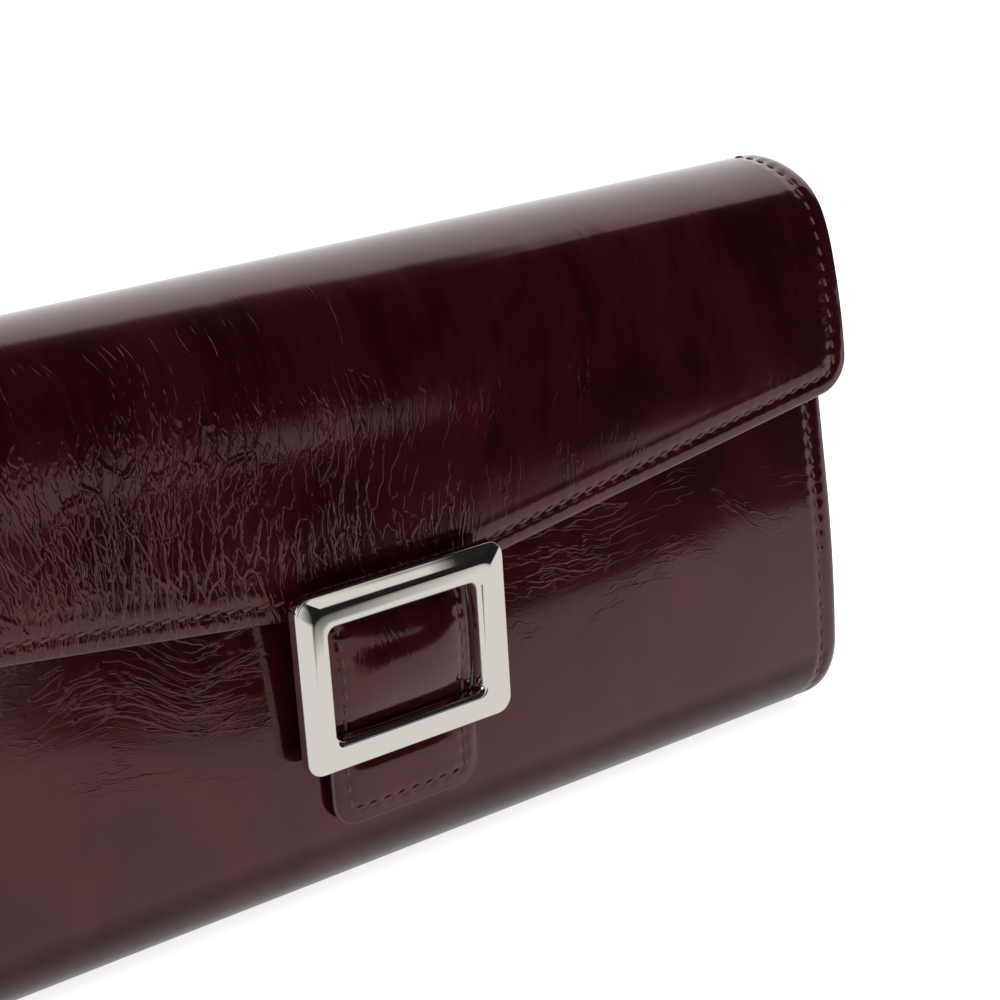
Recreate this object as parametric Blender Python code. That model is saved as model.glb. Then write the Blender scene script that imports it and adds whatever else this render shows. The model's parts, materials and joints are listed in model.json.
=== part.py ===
"""Long flap wallet in glossy creased leather, with a metal buckle on its closing tab.

Frame: metres, +Z up, the front faces -Y, and the origin is at the bottom centre of the whole object.
Every leather layer follows one of two side profiles, drawn in the YZ plane, and keeps one thickness:
the body profile runs down the front, round the bottom and up the back, and the flap profile runs from
the back, over the top and down the front.
"""

import math

import bmesh
import bpy
from mathutils import Matrix, Vector

# Driving dimensions, in metres.
FLAP_WIDTH = 0.194
BODY_WIDTH = 0.188
HEIGHT = 0.099
BODY_DEPTH = 0.0298  # front belly to back
BUCKLE_STANDOFF = 0.0052  # buckle face to front belly
FRONT_Y = -(BODY_DEPTH + BUCKLE_STANDOFF) / 2 + BUCKLE_STANDOFF
BACK_Y = FRONT_Y + BODY_DEPTH
BUCKLE_FACE_Y = FRONT_Y - BUCKLE_STANDOFF
LAYER_GAP = 0.00015
FOLD_GAP = 0.0003  # between the pieces on either side of a fold

# Layer thicknesses.
LEATHER = 0.0009
BOARD = 0.0005
LINING = 0.0006
SLOT_LEATHER = 0.0005

# Body profile.
BOTTOM_FRONT_RADIUS = 0.0120
BOTTOM_BACK_RADIUS = 0.0100
PANEL_LEAN = math.radians(6.5)
PANEL_CURVE_RADIUS = 0.250
PANEL_CURVE_START_Z = 0.016
PANEL_TOP_Z = 0.088
FRONT_FOLD_Z = 0.014
BACK_TOP_RADIUS = 0.008

# Flap profile: each stretch is (radius, turn in degrees), from the back's top edge to the front.
FLAP_STRETCHES = [
    (BACK_TOP_RADIUS, 80), (0.017, 10), (0.022, 28), (0.012, 37), (0.030, 11), (0.110, 7), (0.080, 7),
]
SPINE_FOLD_TURN = 45.0  # degrees turned at the fold behind the top
FLAP_FOLD_TURN = 136.5  # degrees turned at the fold in front of the top
FLAP_TIP_Z = 0.0482
FLAP_EDGE_SLOPE = 0.143
FLAP_CORNER_RADIUS = 0.005

# How far the inner layers stop short of the leather's edges.
FLAP_BOARD_INSET = 0.0030
FLAP_LINING_INSET = 0.0008
BODY_BOARD_INSET = 0.0040
LINING_INSET = 0.0010
FRONT_BOARD_DROP = 0.0020
BACK_BOARD_TOP_Z = 0.0925

# Tab and buckle.
BUCKLE_Z = 0.0404
BUCKLE_WIDTH = 0.0378
BUCKLE_HEIGHT = 0.0288
BUCKLE_SIDE_BAR = 0.0056
BUCKLE_TOP_BAR = 0.0060
BUCKLE_BOTTOM_BAR = 0.0048
BUCKLE_THICKNESS = 0.0027
BUCKLE_CORNER_RADIUS = 0.0024
TAB_WIDTH = 0.0266
TAB_BOTTOM_Z = 0.0150
TAB_TOP_Z = 0.0530
TAB_CORNER_RADIUS = 0.0040
TAB_BACKING = 0.0006
TAB_BACKING_INSET = 0.0006
BUCKLE_WINDOW_RADIUS = 0.0012
RIVET_OFFSET_X = 0.0080
RIVET_CLEARANCE = 0.0002
RIVET_RADIUS = 0.0008
SNAP_Z = 0.0330
SNAP_STUD_RADIUS = 0.0022
SNAP_FLANGE_RADIUS = 0.0032
SNAP_CLEARANCE = 0.0005
SOCKET_WALL = 0.0009
SOCKET_DEPTH = 0.0012
SOCKET_FLOOR = 0.0003

# Inside: coin pocket, zip and card slots.
POCKET_WIDTH = 0.176
POCKET_Y = 0.0044
POCKET_TOP_Z = 0.0740
POCKET_BOTTOM_Z = 0.0070
POCKET_HALF_TOP = 0.0035
POCKET_HALF_MIDDLE = 0.0022
WALL = 0.0008
POCKET_SPREAD = (0.016, 0.006)  # the walls spread between these depths below their top edge
POCKET_STRIP_HEIGHT = 0.0030
POCKET_END_WIDTH = 0.0020
FIT_GAP = 0.0002  # between pieces that are sewn or pressed together
ZIP_HALF_CHAIN = 0.0020
ZIP_HALF_SLOT = 0.0004
ZIP_HEIGHT = 0.0016
ZIP_HALF_LENGTH = 0.0780
TOOTH_PITCH = 0.0030
SLIDER_LENGTH = 0.0080
SLIDER_PLATE = 0.0007
SLIDER_UPPER_HALF = 0.0026
SLIDER_LOWER_HALF = 0.0019
TAPE_THICKNESS = 0.0004
TAPE_DROP = 0.0070
STOP_HALF = (0.0010, 0.0018, 0.0010)
PULL_LENGTH = 0.0140
PULL_HALF_WIDTH = 0.0022
PULL_ARM = 0.0010
PULL_BAR_HALF = 0.00035
PULL_THICKNESS = 0.0007
PULL_EYE_LENGTH = 0.0034
SLOT_STEP = 0.0120
FRONT_SLOT_TOP_Z = 0.0740
BACK_SLOT_TOP_Z = 0.0800
SLOT_BOTTOM_Z = 0.0180
SLOT_SIDE_INSET = 0.0092
GUSSET_THICKNESS = 0.0007
GUSSET_DEPTH = 0.0064
GUSSET_SEAM_INSET = 0.0012
GUSSET_MIDDLE_INSET = 0.0010
GUSSET_HEIGHTS = (
    0.0034, 0.0048, 0.0075, 0.0115, 0.0160, 0.0230, 0.0300, 0.0370, 0.0443, 0.0600, 0.0740, 0.0860,
)


def clear_scene():
    """Removes every object from the scene."""
    for obj in list(bpy.data.objects):
        bpy.data.objects.remove(obj)


def material(name, color, roughness, metallic=0.0):
    """A Principled material of one colour, or the one already made with this name."""
    found = bpy.data.materials.get(name)
    if found:
        return found
    made = bpy.data.materials.new(name)
    made.use_nodes = True
    shader = made.node_tree.nodes["Principled BSDF"]
    shader.inputs["Base Color"].default_value = (*color, 1.0)
    shader.inputs["Roughness"].default_value = roughness
    shader.inputs["Metallic"].default_value = metallic
    return made


def burgundy():
    return material("burgundy_leather", (0.060, 0.008, 0.012), 0.2)


def lining_material():
    return material("lining_leather", (0.115, 0.020, 0.026), 0.5)


def board_material():
    return material("stiffener_board", (0.35, 0.30, 0.24), 0.9)


def polished_metal():
    return material("polished_metal", (0.78, 0.76, 0.72), 0.12, 1.0)


def tape_material():
    return material("zip_tape", (0.050, 0.010, 0.014), 0.9)


def new_object(name, mesh, surface):
    """Links a mesh to the scene as one named object with one material."""
    obj = bpy.data.objects.new(name, mesh)
    obj.data.materials.append(surface)
    bpy.context.scene.collection.objects.link(obj)
    return obj


def mesh_from(name, points, faces):
    mesh = bpy.data.meshes.new(name)
    mesh.from_pydata(points, [], faces)
    mesh.update()
    return mesh


# ---- side profiles ----


class Profile:
    """A path in the YZ plane that always turns left, so that the wallet's inside is on its left.

    Each stretch is a straight line or an arc, and at(distance, depth) gives the point that lies that far
    along the outer face and that deep inside it.
    """

    def __init__(self, y, z, heading):
        self.stretches = []
        self.length = 0.0
        self.end = (y, z, heading)

    def line(self, length):
        self._add(length, 0.0)
        return self

    def arc(self, radius, turn):
        self._add(radius * turn, 1.0 / radius)
        return self

    def _add(self, length, curvature):
        self.stretches.append((self.length, length, curvature, self.end))
        self.length += length
        self.end = self._walk(self.end, length, curvature)

    @staticmethod
    def _walk(start, length, curvature):
        y, z, heading = start
        if curvature == 0.0:
            return (y + length * math.cos(heading), z + length * math.sin(heading), heading)
        after = heading + length * curvature
        return (
            y + (math.sin(after) - math.sin(heading)) / curvature,
            z - (math.cos(after) - math.cos(heading)) / curvature,
            after,
        )

    def pose(self, distance):
        for begin, length, curvature, start in self.stretches:
            if distance <= begin + length:
                break
        return self._walk(start, distance - begin, curvature)

    def at(self, distance, depth=0.0):
        y, z, heading = self.pose(distance)
        return (y - depth * math.sin(heading), z + depth * math.cos(heading))

    def distances(self, first, last, spacing=0.0025, bend=math.radians(9)):
        """Distances from first to last, close enough together for the bends and never far apart."""
        found = [first]
        marks = [b for b, *_ in self.stretches if first < b < last] + [last]
        for mark in marks:
            span = mark - found[-1]
            turned = abs(self.pose(mark)[2] - self.pose(found[-1])[2])
            steps = max(1, math.ceil(turned / bend), math.ceil(span / (spacing * 8)))
            start = found[-1]
            found += [start + span * (i + 1) / steps for i in range(steps)]
        return found

    def distance_at_z(self, z, first, last, depth=0.0):
        """The distance between first and last where the face this deep reaches z, by bisection."""
        low, high = first, last
        rising = self.at(high, depth)[1] > self.at(low, depth)[1]
        for _ in range(50):
            middle = (low + high) / 2
            if (self.at(middle, depth)[1] < z) == rising:
                low = middle
            else:
                high = middle
        return (low + high) / 2


def body_profile():
    """Down the front from the panel's top edge, round the bottom, and up the back to the top fold."""
    curve_y = PANEL_CURVE_RADIUS * (1 - math.cos(PANEL_LEAN))
    curve_z = PANEL_CURVE_START_Z + PANEL_CURVE_RADIUS * math.sin(PANEL_LEAN)
    straight = (PANEL_TOP_Z - curve_z) / math.cos(PANEL_LEAN)
    top_y = FRONT_Y + curve_y + straight * math.sin(PANEL_LEAN)
    down = -math.pi / 2
    path = Profile(top_y, PANEL_TOP_Z, down - PANEL_LEAN)
    path.line(straight).arc(PANEL_CURVE_RADIUS, PANEL_LEAN).line(PANEL_CURVE_START_Z - BOTTOM_FRONT_RADIUS)
    path.arc(BOTTOM_FRONT_RADIUS, math.pi / 2).line(BODY_DEPTH - BOTTOM_FRONT_RADIUS - BOTTOM_BACK_RADIUS)
    path.arc(BOTTOM_BACK_RADIUS, math.pi / 2).line(BACK_TOP_Z - BOTTOM_BACK_RADIUS)
    path.arc(BACK_TOP_RADIUS, math.radians(SPINE_FOLD_TURN))
    return path


def flap_profile():
    """Up the back's last stretch, over the top, and down the front to the flap's tip."""
    path = Profile(BACK_Y, BACK_TOP_Z, math.pi / 2)
    for radius, turn in FLAP_STRETCHES:
        path.arc(radius, math.radians(turn))
    path.line(path.end[1] - FLAP_TIP_Z)
    return path


def rise_to_crown():
    """Height from the start of the flap profile to its highest point, where it has turned 90 degrees."""
    z, turned = 0.0, 0.0
    for radius, turn in FLAP_STRETCHES:
        after = min(90.0, turned + turn)
        z += radius * (math.sin(math.radians(after)) - math.sin(math.radians(turned)))
        turned = after
    return z


def distance_at_turn(turn):
    """Distance along the flap profile where it has turned this many degrees."""
    distance = 0.0
    for radius, stretch in FLAP_STRETCHES:
        part = min(turn, stretch)
        distance += radius * math.radians(part)
        turn -= part
        if turn <= 0:
            break
    return distance


BACK_TOP_Z = HEIGHT - rise_to_crown()
BODY = body_profile()
FLAP = flap_profile()
SPINE_FOLD = distance_at_turn(SPINE_FOLD_TURN)
FLAP_FOLD = distance_at_turn(FLAP_FOLD_TURN)
FRONT_FOLD = BODY.distance_at_z(FRONT_FOLD_Z, 0.0, BODY.stretches[3][0])
BACK_START = BODY.stretches[6][0]


# ---- sheets of leather and board ----


def sheet(name, profile, first, last, depth, thickness, half_width, surface):
    """A strip of sheet that follows a profile from first to last, across the width."""
    outer = [profile.at(d, depth) for d in profile.distances(first, last)]
    inner = [profile.at(d, depth + thickness) for d in profile.distances(first, last)]
    return extrude_outline(name, outer + inner[::-1], half_width, surface)


def extrude_outline(name, outline, half_width, surface, middle_x=0.0):
    """A closed outline in the YZ plane, drawn out along X to both sides of middle_x."""
    count = len(outline)
    left = [(middle_x - half_width, y, z) for y, z in outline]
    right = [(middle_x + half_width, y, z) for y, z in outline]
    faces = [(i, (i + 1) % count, count + (i + 1) % count, count + i) for i in range(count)]
    faces += [tuple(range(count))[::-1], tuple(range(count, 2 * count))]
    return close_mesh(new_object(name, mesh_from(name, left + right, faces), surface))


def close_mesh(obj):
    """Turns every face outwards and shades the round stretches smooth."""
    work = bmesh.new()
    work.from_mesh(obj.data)
    bmesh.ops.recalc_face_normals(work, faces=work.faces)
    work.to_mesh(obj.data)
    work.free()
    obj.data.shade_smooth()
    obj.data.set_sharp_from_angle(angle=math.radians(30))
    return obj


def corner_rows(radius, count=5):
    """(distance from the edge, how far the side is drawn in) down to an edge with round corners."""
    angles = [math.pi / 2 * i / count for i in range(count + 1)]
    return [(radius * (1 - math.sin(a)), radius * (1 - math.cos(a))) for a in angles]


def shaped_sheet(name, columns, rows, place, surface):
    """A sheet whose outline isn't a plain strip.

    place(across, row, side) gives a point for across from -1 to 1, and side 0 outside or 1 inside.
    """
    across = [2 * i / (columns - 1) - 1 for i in range(columns)]
    points = [place(a, row, side) for side in (0, 1) for row in rows for a in across]
    block = len(rows) * columns
    faces = []
    for r in range(len(rows) - 1):
        for c in range(columns - 1):
            quad = (r * columns + c, r * columns + c + 1, (r + 1) * columns + c + 1, (r + 1) * columns + c)
            faces += [quad, tuple(block + i for i in quad[::-1])]
    ring = [c for c in range(columns)]
    ring += [r * columns + columns - 1 for r in range(1, len(rows))]
    ring += [(len(rows) - 1) * columns + c for c in range(columns - 2, -1, -1)]
    ring += [r * columns for r in range(len(rows) - 2, 0, -1)]
    faces += [(a, b, block + b, block + a) for a, b in zip(ring, ring[1:] + ring[:1])]
    return close_mesh(new_object(name, mesh_from(name, points, faces), surface))


def flap_sheet(name, depth, thickness, inset, surface):
    """A layer of the flap: from the front fold down to the V-shaped edge, inset from the leather's edge."""
    half = FLAP_WIDTH / 2 - inset
    start = FLAP_FOLD + FOLD_GAP / 2
    corner = FLAP_CORNER_RADIUS - inset
    tip = FLAP.length - inset
    upper = [d for d in FLAP.distances(start, tip - 0.016)]
    rows = [("fixed", d, 0.0) for d in upper]
    rows += [("edge", back, drawn) for back, drawn in corner_rows(corner)]

    def place(across, row, side):
        kind, value, drawn = row
        x = across * (half - drawn)
        edge = tip - FLAP_EDGE_SLOPE * abs(across) * half
        distance = min(value, edge - corner - 0.0004) if kind == "fixed" else edge - value
        y, z = FLAP.at(distance, depth + thickness * side)
        return (x, y, z)

    return shaped_sheet(name, 13, rows, place, surface)


# ---- body: back, base and front ----


def make_back_and_base():
    """The outer leather behind and below, its board and its lining."""
    half = BODY_WIDTH / 2
    end = BODY.length - FOLD_GAP / 2
    back_low = BACK_START + FOLD_GAP / 2
    sheet("back_leather", BODY, back_low, end, 0.0, LEATHER, half, burgundy())
    base_first, base_last = FRONT_FOLD + FOLD_GAP / 2, BACK_START - FOLD_GAP / 2
    sheet("base_leather", BODY, base_first, base_last, 0.0, LEATHER, half, burgundy())
    board_depth = LEATHER + LAYER_GAP
    board_top = BODY.distance_at_z(BACK_BOARD_TOP_Z, BACK_START, BODY.length)
    board_half = half - BODY_BOARD_INSET
    sheet("back_board", BODY, back_low, board_top, board_depth, BOARD, board_half, board_material())
    lining_depth = board_depth + BOARD + LAYER_GAP
    lining_half = half - LINING_INSET
    sheet("back_lining", BODY, back_low, end, lining_depth, LINING, lining_half, lining_material())
    sheet("base_lining", BODY, base_first, base_last, board_depth, LINING, lining_half, lining_material())


def make_front_panel():
    """The front leather, its board and its lining, from the panel's top edge to the front fold."""
    half = BODY_WIDTH / 2
    end = FRONT_FOLD - FOLD_GAP / 2
    sheet("front_leather", BODY, 0.0, end, 0.0, LEATHER, half, burgundy())
    board_depth = LEATHER + LAYER_GAP
    board_half = half - BODY_BOARD_INSET
    sheet("front_board", BODY, FRONT_BOARD_DROP, end, board_depth, BOARD, board_half, board_material())
    lining_depth = board_depth + BOARD + LAYER_GAP
    sheet("front_lining", BODY, 0.0, end, lining_depth, LINING, half - LINING_INSET, lining_material())


def lining_face_depth():
    """Depth of the lining's inner face on the front panel and on the back."""
    return LEATHER + BOARD + LINING + 2 * LAYER_GAP


def make_card_slots():
    """Stepped strips, each with its opening along its top edge, stacked on the front and the back."""
    half = BODY_WIDTH / 2 - SLOT_SIDE_INSET
    pitch = SLOT_LEATHER + LAYER_GAP
    base = lining_face_depth() + LAYER_GAP
    bottom = BODY.distance_at_z(SLOT_BOTTOM_Z, 0.0, FRONT_FOLD)
    for i in range(3):
        top = BODY.distance_at_z(FRONT_SLOT_TOP_Z - i * SLOT_STEP, 0.0, FRONT_FOLD)
        name, depth = f"front_card_slot_{i + 1}", base + i * pitch
        sheet(name, BODY, top, bottom, depth, SLOT_LEATHER, half, lining_material())
    bottom = BODY.distance_at_z(SLOT_BOTTOM_Z, BACK_START, BODY.length)
    for i in range(4):
        top = BODY.distance_at_z(BACK_SLOT_TOP_Z - i * SLOT_STEP, BACK_START, BODY.length)
        name, depth = f"back_card_slot_{i + 1}", base + i * pitch
        sheet(name, BODY, bottom, top, depth, SLOT_LEATHER, half, lining_material())


def make_gussets():
    """The folded side walls: each goes inwards and back out twice between the front and back linings."""
    away = lining_face_depth() + LAYER_GAP + GUSSET_THICKNESS / 2 + 0.0001
    floor, back_foot = BODY.stretches[4][0], BODY.stretches[5][0]
    for side, name in ((-1, "gusset_left"), (1, "gusset_right")):
        plans = []
        for z in GUSSET_HEIGHTS:
            front_y = BODY.at(BODY.distance_at_z(z, 0.0, floor, away), away)[0]
            back_y = BODY.at(BODY.distance_at_z(z, back_foot, BODY.length, away), away)[0]
            plans.append(thicken(gusset_line(front_y, min(back_y, BACK_Y - away), side), GUSSET_THICKNESS))
        loft(name, plans, GUSSET_HEIGHTS, lining_material())


def gusset_line(front_y, back_y, side):
    """The middle of the gusset in plan, from the front seam to the back seam by way of three folds."""
    seam_x = side * (BODY_WIDTH / 2 - GUSSET_SEAM_INSET)
    fold_x = seam_x - side * GUSSET_DEPTH
    middle_x = seam_x - side * GUSSET_MIDDLE_INSET
    return [
        Vector((seam_x, front_y)),
        Vector((fold_x + side * 0.0006, front_y)),
        Vector((fold_x, front_y + 0.0006)),
        Vector((fold_x + side * 0.0004, front_y + 0.0014)),
        Vector((middle_x - side * 0.0004, POCKET_Y - 0.0006)),
        Vector((middle_x, POCKET_Y)),
        Vector((middle_x - side * 0.0004, POCKET_Y + 0.0006)),
        Vector((fold_x + side * 0.0004, back_y - 0.0014)),
        Vector((fold_x, back_y - 0.0006)),
        Vector((fold_x + side * 0.0006, back_y)),
        Vector((seam_x, back_y)),
    ]


def thicken(line, thickness):
    """A closed outline round a line in plan, half the thickness to each side, mitred at each bend."""
    one, other = [], []
    for i, point in enumerate(line):
        before = (point - line[i - 1]).normalized() if i else (line[1] - point).normalized()
        after = (line[i + 1] - point).normalized() if i < len(line) - 1 else before
        mitre = (Vector((-before.y, before.x)) + Vector((-after.y, after.x))).normalized()
        reach = thickness / 2 / max(0.5, mitre.dot(Vector((-before.y, before.x))))
        one.append(point + mitre * reach)
        other.append(point - mitre * reach)
    return one + other[::-1]


def loft(name, outlines, heights, surface):
    """Joins closed outlines in plan, one at each height, into one solid."""
    count = len(outlines[0])
    points = [(p.x, p.y, z) for outline, z in zip(outlines, heights) for p in outline]
    faces = []
    for level in range(len(heights) - 1):
        low, high = level * count, (level + 1) * count
        for i in range(count):
            after = (i + 1) % count
            if i < count // 2 - 1:
                faces += [(low + i, low + after, high + after), (low + i, high + after, high + i)]
            else:
                faces += [(low + i, low + after, high + i), (low + after, high + after, high + i)]
    faces += [tuple(range(count)), tuple(range((len(heights) - 1) * count, len(heights) * count))]
    return close_mesh(new_object(name, mesh_from(name, points, faces), surface))


# ---- flap, tab, buckle and press stud ----


def make_spine_and_flap():
    """The top strip between the two folds, and the flap in front: leather, board and lining."""
    half = FLAP_WIDTH / 2
    first, last = SPINE_FOLD + FOLD_GAP / 2, FLAP_FOLD - FOLD_GAP / 2
    board_depth = LEATHER + LAYER_GAP
    lining_depth = board_depth + BOARD + LAYER_GAP
    sheet("spine_leather", FLAP, first, last, 0.0, LEATHER, half, burgundy())
    sheet("spine_board", FLAP, first, last, board_depth, BOARD, half - FLAP_BOARD_INSET, board_material())
    sheet("spine_lining", FLAP, first, last, lining_depth, LINING, half - LINING_INSET, lining_material())
    flap_sheet("flap_leather", 0.0, LEATHER, 0.0, burgundy())
    flap_sheet("flap_board", board_depth, BOARD, FLAP_BOARD_INSET, board_material())
    flap_sheet("flap_lining", lining_depth, LINING, FLAP_LINING_INSET, lining_material())


def tab_sheet(name, front_y, thickness, inset, surface):
    """A flat layer of the tab, with two round corners at its lower end."""
    half = TAB_WIDTH / 2 - inset
    bottom = TAB_BOTTOM_Z + inset
    rows = [(TAB_TOP_Z - inset, 0.0)]
    rows += [(bottom + back, drawn) for back, drawn in corner_rows(TAB_CORNER_RADIUS - inset, 6)]

    def place(across, row, side):
        return (across * (half - row[1]), front_y + thickness * side, row[0])

    return shaped_sheet(name, 3, rows, place, surface)


def tab_front_y():
    return FLAP.at(FLAP.length)[0] - LAYER_GAP - TAB_BACKING - LAYER_GAP - LEATHER


def make_tab():
    """The tab in front of the flap's tip: its outer leather and the backing behind it."""
    front = tab_front_y()
    tab = tab_sheet("tab_leather", front, LEATHER, 0.0, burgundy())
    backing_y = front + LEATHER + LAYER_GAP
    backing = tab_sheet("tab_backing", backing_y, TAB_BACKING, TAB_BACKING_INSET, lining_material())
    for obj in (tab, backing):
        for x, z in rivet_places():
            cut_hole(obj, x, z, RIVET_RADIUS + RIVET_CLEARANCE)
    cut_hole(backing, 0.0, SNAP_Z, SNAP_STUD_RADIUS + SNAP_CLEARANCE + SOCKET_WALL + LAYER_GAP * 2)


def rounded_rectangle(width, height, radius, x, z, count=5):
    """Points round a rectangle in the XZ plane with round corners, counterclockwise from the front."""
    points = []
    for sx, sz, start in ((1, 1, 0), (-1, 1, 90), (-1, -1, 180), (1, -1, 270)):
        for i in range(count + 1):
            angle = math.radians(start + 90 * i / count)
            points.append((
                x + sx * (width / 2 - radius) + radius * math.cos(angle),
                z + sz * (height / 2 - radius) + radius * math.sin(angle),
            ))
    return points


def make_buckle():
    """The square frame: its bars are domed towards the front, and they slope down to the opening."""
    opening_width = BUCKLE_WIDTH - 2 * BUCKLE_SIDE_BAR
    opening_height = BUCKLE_HEIGHT - BUCKLE_TOP_BAR - BUCKLE_BOTTOM_BAR
    opening_z = BUCKLE_Z + (BUCKLE_BOTTOM_BAR - BUCKLE_TOP_BAR) / 2
    back = BUCKLE_FACE_Y + BUCKLE_THICKNESS

    def ring(share, y):
        """The loop that lies this share of the way from the outer edge to the opening's edge."""
        width = BUCKLE_WIDTH + (opening_width - BUCKLE_WIDTH) * share
        height = BUCKLE_HEIGHT + (opening_height - BUCKLE_HEIGHT) * share
        z = BUCKLE_Z + (opening_z - BUCKLE_Z) * share
        radius = BUCKLE_CORNER_RADIUS + (BUCKLE_WINDOW_RADIUS - BUCKLE_CORNER_RADIUS) * share
        return [(x, y, z_) for x, z_ in rounded_rectangle(width, height, radius, 0.0, z)]

    dome = [
        (0.0, 0.0010), (0.06, 0.0004), (0.16, 0.00005), (0.30, 0.0), (0.62, 0.0003), (0.90, 0.0009),
        (1.0, 0.0013),
    ]
    section = [(0.0, back)] + [(share, BUCKLE_FACE_Y + drop) for share, drop in dome] + [(1.0, back)]
    loops = [ring(share, y) for share, y in section]
    count = len(loops[0])
    points = [p for loop in loops for p in loop]
    faces = []
    for k in range(len(loops)):
        a, b = k * count, ((k + 1) % len(loops)) * count
        faces += [(a + i, a + (i + 1) % count, b + (i + 1) % count, b + i) for i in range(count)]
    close_mesh(new_object("buckle_frame", mesh_from("buckle_frame", points, faces), polished_metal()))


def rivet_places():
    """Where the buckle's posts go through the tab: two behind the top bar and two behind the bottom bar."""
    top = BUCKLE_Z + BUCKLE_HEIGHT / 2 - BUCKLE_TOP_BAR / 2 - 0.0010
    bottom = BUCKLE_Z - BUCKLE_HEIGHT / 2 + BUCKLE_BOTTOM_BAR / 2
    return [(x, z) for z in (top, bottom) for x in (-RIVET_OFFSET_X, RIVET_OFFSET_X)]


def cylinder(name, x, y_front, y_back, z, radius, surface, segments=20):
    """A round bar along Y."""
    mesh = bpy.data.meshes.new(name)
    work = bmesh.new()
    turn = Matrix.Rotation(math.pi / 2, 4, "X")
    bmesh.ops.create_cone(
        work, cap_ends=True, segments=segments, radius1=radius, radius2=radius,
        depth=y_back - y_front, matrix=Matrix.Translation((x, (y_front + y_back) / 2, z)) @ turn,
    )
    work.to_mesh(mesh)
    work.free()
    return new_object(name, mesh, surface)


def cut_hole(obj, x, z, radius, reach=0.03):
    """Cuts a round hole along Y through a piece, with a Boolean."""
    name = f"{obj.name}_hole_{len(obj.modifiers)}"
    hole = cylinder(name, x, -0.03, -0.03 + reach, z, radius, board_material())
    hole.hide_render = True
    hole.display_type = "WIRE"
    cut = obj.modifiers.new("hole", "BOOLEAN")
    cut.operation = "DIFFERENCE"
    cut.object = hole


def turned(name, x, z, section, surface, segments=24):
    """A closed section of (radius, y) points turned round an axis along Y."""
    points, faces = [], []
    for i in range(segments):
        angle = 2 * math.pi * i / segments
        points += [(x + r * math.cos(angle), y, z + r * math.sin(angle)) for r, y in section]
    count = len(section)
    for i in range(segments):
        a, b = i * count, ((i + 1) % segments) * count
        faces += [(a + k, a + (k + 1) % count, b + (k + 1) % count, b + k) for k in range(count)]
    obj = new_object(name, mesh_from(name, points, faces), surface)
    work = bmesh.new()
    work.from_mesh(obj.data)
    bmesh.ops.remove_doubles(work, verts=work.verts, dist=1e-7)
    bmesh.ops.dissolve_degenerate(work, edges=work.edges, dist=1e-8)
    work.to_mesh(obj.data)
    work.free()
    return close_mesh(obj)


def make_rivets():
    """Four posts from the buckle's back through the tab, each with a small head behind."""
    front = BUCKLE_FACE_Y + BUCKLE_THICKNESS + 0.0001
    back = tab_front_y() + LEATHER + LAYER_GAP + TAB_BACKING + 0.00005
    for i, (x, z) in enumerate(rivet_places()):
        cylinder(f"buckle_post_{i + 1}", x, front, back, z, RIVET_RADIUS, polished_metal(), 16)


def make_press_stud():
    """The socket in the tab's backing, and the stud that stands in a hole in the front leather."""
    socket_front = tab_front_y() + LEATHER + LAYER_GAP
    socket_back = socket_front + SOCKET_DEPTH
    inner = SNAP_STUD_RADIUS + SNAP_CLEARANCE
    outer = inner + SOCKET_WALL
    turned("snap_socket", 0.0, SNAP_Z, [
        (0.0, socket_front), (outer, socket_front), (outer, socket_back), (inner, socket_back),
        (inner, socket_front + SOCKET_FLOOR), (0.0, socket_front + SOCKET_FLOOR),
    ], polished_metal())
    stud_front = socket_front + 0.0007
    leather_y = BODY.at(BODY.distance_at_z(SNAP_Z - SNAP_FLANGE_RADIUS, 0.0, FRONT_FOLD))[0]
    stud_back = BODY.at(BODY.distance_at_z(SNAP_Z - SNAP_FLANGE_RADIUS, 0.0, FRONT_FOLD), LEATHER)[0]
    turned("snap_stud", 0.0, SNAP_Z, [
        (0.0, stud_front), (SNAP_STUD_RADIUS - 0.0004, stud_front), (SNAP_STUD_RADIUS, stud_front + 0.0003),
        (SNAP_STUD_RADIUS - 0.0002, leather_y), (SNAP_FLANGE_RADIUS, leather_y),
        (SNAP_FLANGE_RADIUS, stud_back), (0.0, stud_back),
    ], polished_metal())
    cut_hole(bpy.data.objects["front_leather"], 0.0, SNAP_Z, SNAP_FLANGE_RADIUS + 0.0003)


# ---- coin pocket and zip ----


def pocket_wall(name, side, depth, thickness, low, high, surface):
    """One wall of the coin pocket: close to the other below, and spread at the top for the zip."""
    half_top, half_middle = POCKET_HALF_TOP - depth, POCKET_HALF_MIDDLE - depth
    outer = [
        (POCKET_Y + side * half_middle, low),
        (POCKET_Y + side * half_middle, POCKET_TOP_Z - POCKET_SPREAD[0]),
        (POCKET_Y + side * half_top, POCKET_TOP_Z - POCKET_SPREAD[1]), (POCKET_Y + side * half_top, high),
    ]
    inner = [(y - side * thickness, z) for y, z in outer]
    return extrude_outline(name, outer + inner[::-1], POCKET_WIDTH / 2, surface)


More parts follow.
